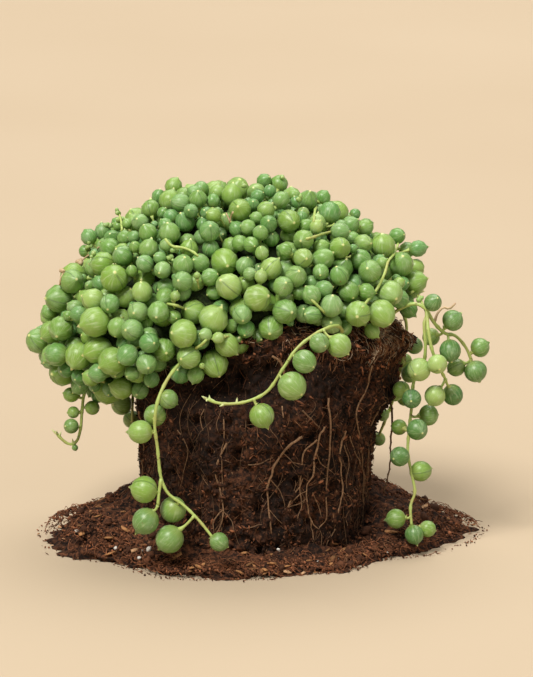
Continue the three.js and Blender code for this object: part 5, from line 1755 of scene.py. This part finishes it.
class PLANT_OT_stage(bpy.types.Operator):
    """Set the floor, the soft lights and the camera"""

    bl_idname = "plant.stage"
    bl_label = "Stage"

    def execute(self, context):
        stage = context.scene.plant_stage
        self.floor(stage)
        self.lights()
        lift = np.radians(stage.elevation)
        data = bpy.data.cameras.new("camera")
        data.lens = stage.lens
        data.sensor_width = 36
        data.clip_end = 60
        camera = bpy.data.objects.new("camera", data)
        back = stage.distance * np.array([0, -np.cos(lift), np.sin(lift)])
        camera.location = np.array(LOOK_AT) * METRES + back
        camera.rotation_euler = (np.pi / 2 - lift, 0, 0)
        context.scene.collection.objects.link(camera)
        context.scene.camera = camera
        context.scene.view_settings.view_transform = "Standard"
        return {"FINISHED"}

    def floor(self, stage):
        """A flat disc as rings of points, with very faint mottling in its finish."""
        turn = np.linspace(0, 360, 64, endpoint=False)[None, :]
        rings = round_place(turn, np.array([0.5, 2, stage.floor_radius])[:, None], 0.0)
        mesh = bpy.data.meshes.new("floor")
        at = np.arange(rings[..., 0].size).reshape(rings.shape[:2])
        after = np.roll(at, -1, axis=1)
        quads = np.stack([at[:-1], at[1:], after[1:], after[:-1]], axis=-1).reshape(-1, 4)
        mesh.from_pydata(rings.reshape(-1, 3).tolist(), [], [*quads.tolist(), at[0].tolist()])
        finish = Finish("floor paint")
        patch = finish.noise(finish.object_place(), 3.0, 2.0)
        paint = finish.laid(tuple(stage.floor_colour), FLOOR_MOTTLE, patch, 0.3, 0.7, 0.04)
        finish.set(Base_Color=paint, Roughness=0.85, Specular_IOR_Level=0.1)
        mesh.materials.append(finish.material)
        floor = bpy.data.objects.new("floor", mesh)
        bpy.context.scene.collection.objects.link(floor)

    def lights(self):
        """A faint warm room, and lights turned so that their -Z points from their places to the middle."""
        world = bpy.data.worlds.new("studio")
        world.use_nodes = True
        background = world.node_tree.nodes["Background"]
        background.inputs["Color"].default_value = ROOM_COLOUR
        background.inputs["Strength"].default_value = ROOM_STRENGTH
        bpy.context.scene.world = world
        for name, (x, y, z), strength, angle in LIGHTS:
            light = bpy.data.lights.new(name, "SUN")
            light.energy = strength
            light.angle = np.radians(angle)
            light.color = LIGHT_COLOUR
            lamp = bpy.data.objects.new(name, light)
            lamp.location = (x, y, z)
            lamp.rotation_euler = (np.arctan2(np.hypot(x, y), z), 0, np.arctan2(y, x) + np.pi / 2)
            bpy.context.scene.collection.objects.link(lamp)


class PLANT_PT_pieces(bpy.types.Panel):
    """The plant's pieces in the sidebar"""

    bl_idname = "PLANT_PT_pieces"
    bl_label = "String of pearls"
    bl_space_type = "VIEW_3D"
    bl_region_type = "UI"
    bl_category = "Plant"

    def draw(self, context):
        """The settings of each group in a box, and a button for each operator."""
        for group in ("plant_pearls", "plant_soil", "plant_stage"):
            settings = getattr(context.scene, group)
            box = self.layout.box()
            for name in settings.__annotations__:
                box.prop(settings, name)
        for operator in OPERATORS:
            self.layout.operator(operator.bl_idname)


OPERATORS = (PLANT_OT_stage, PLANT_OT_root_ball, PLANT_OT_wall_roots, PLANT_OT_loose_soil, PLANT_OT_strands,
             PLANT_OT_crown)
GROUPS = {"plant_pearls": PLANT_PG_pearls, "plant_soil": PLANT_PG_soil, "plant_stage": PLANT_PG_stage}


def register():
    """Makes the classes known, and puts the settings on the scene."""
    for group in (*GROUPS.values(), *OPERATORS, PLANT_PT_pieces):
        bpy.utils.register_class(group)
    for name, group in GROUPS.items():
        setattr(bpy.types.Scene, name, PointerProperty(type=group))


def unregister():
    """Takes the settings and the classes away again."""
    for name in GROUPS:
        delattr(bpy.types.Scene, name)
    for group in reversed((*GROUPS.values(), *OPERATORS, PLANT_PT_pieces)):
        bpy.utils.unregister_class(group)


def main():
    """Calls the operators in order."""
    register()
    for operator in OPERATORS:
        module, name = operator.bl_idname.split(".")
        getattr(getattr(bpy.ops, module), name)()
    bpy.context.view_layer.update()


if __name__ == "__main__":
    main()
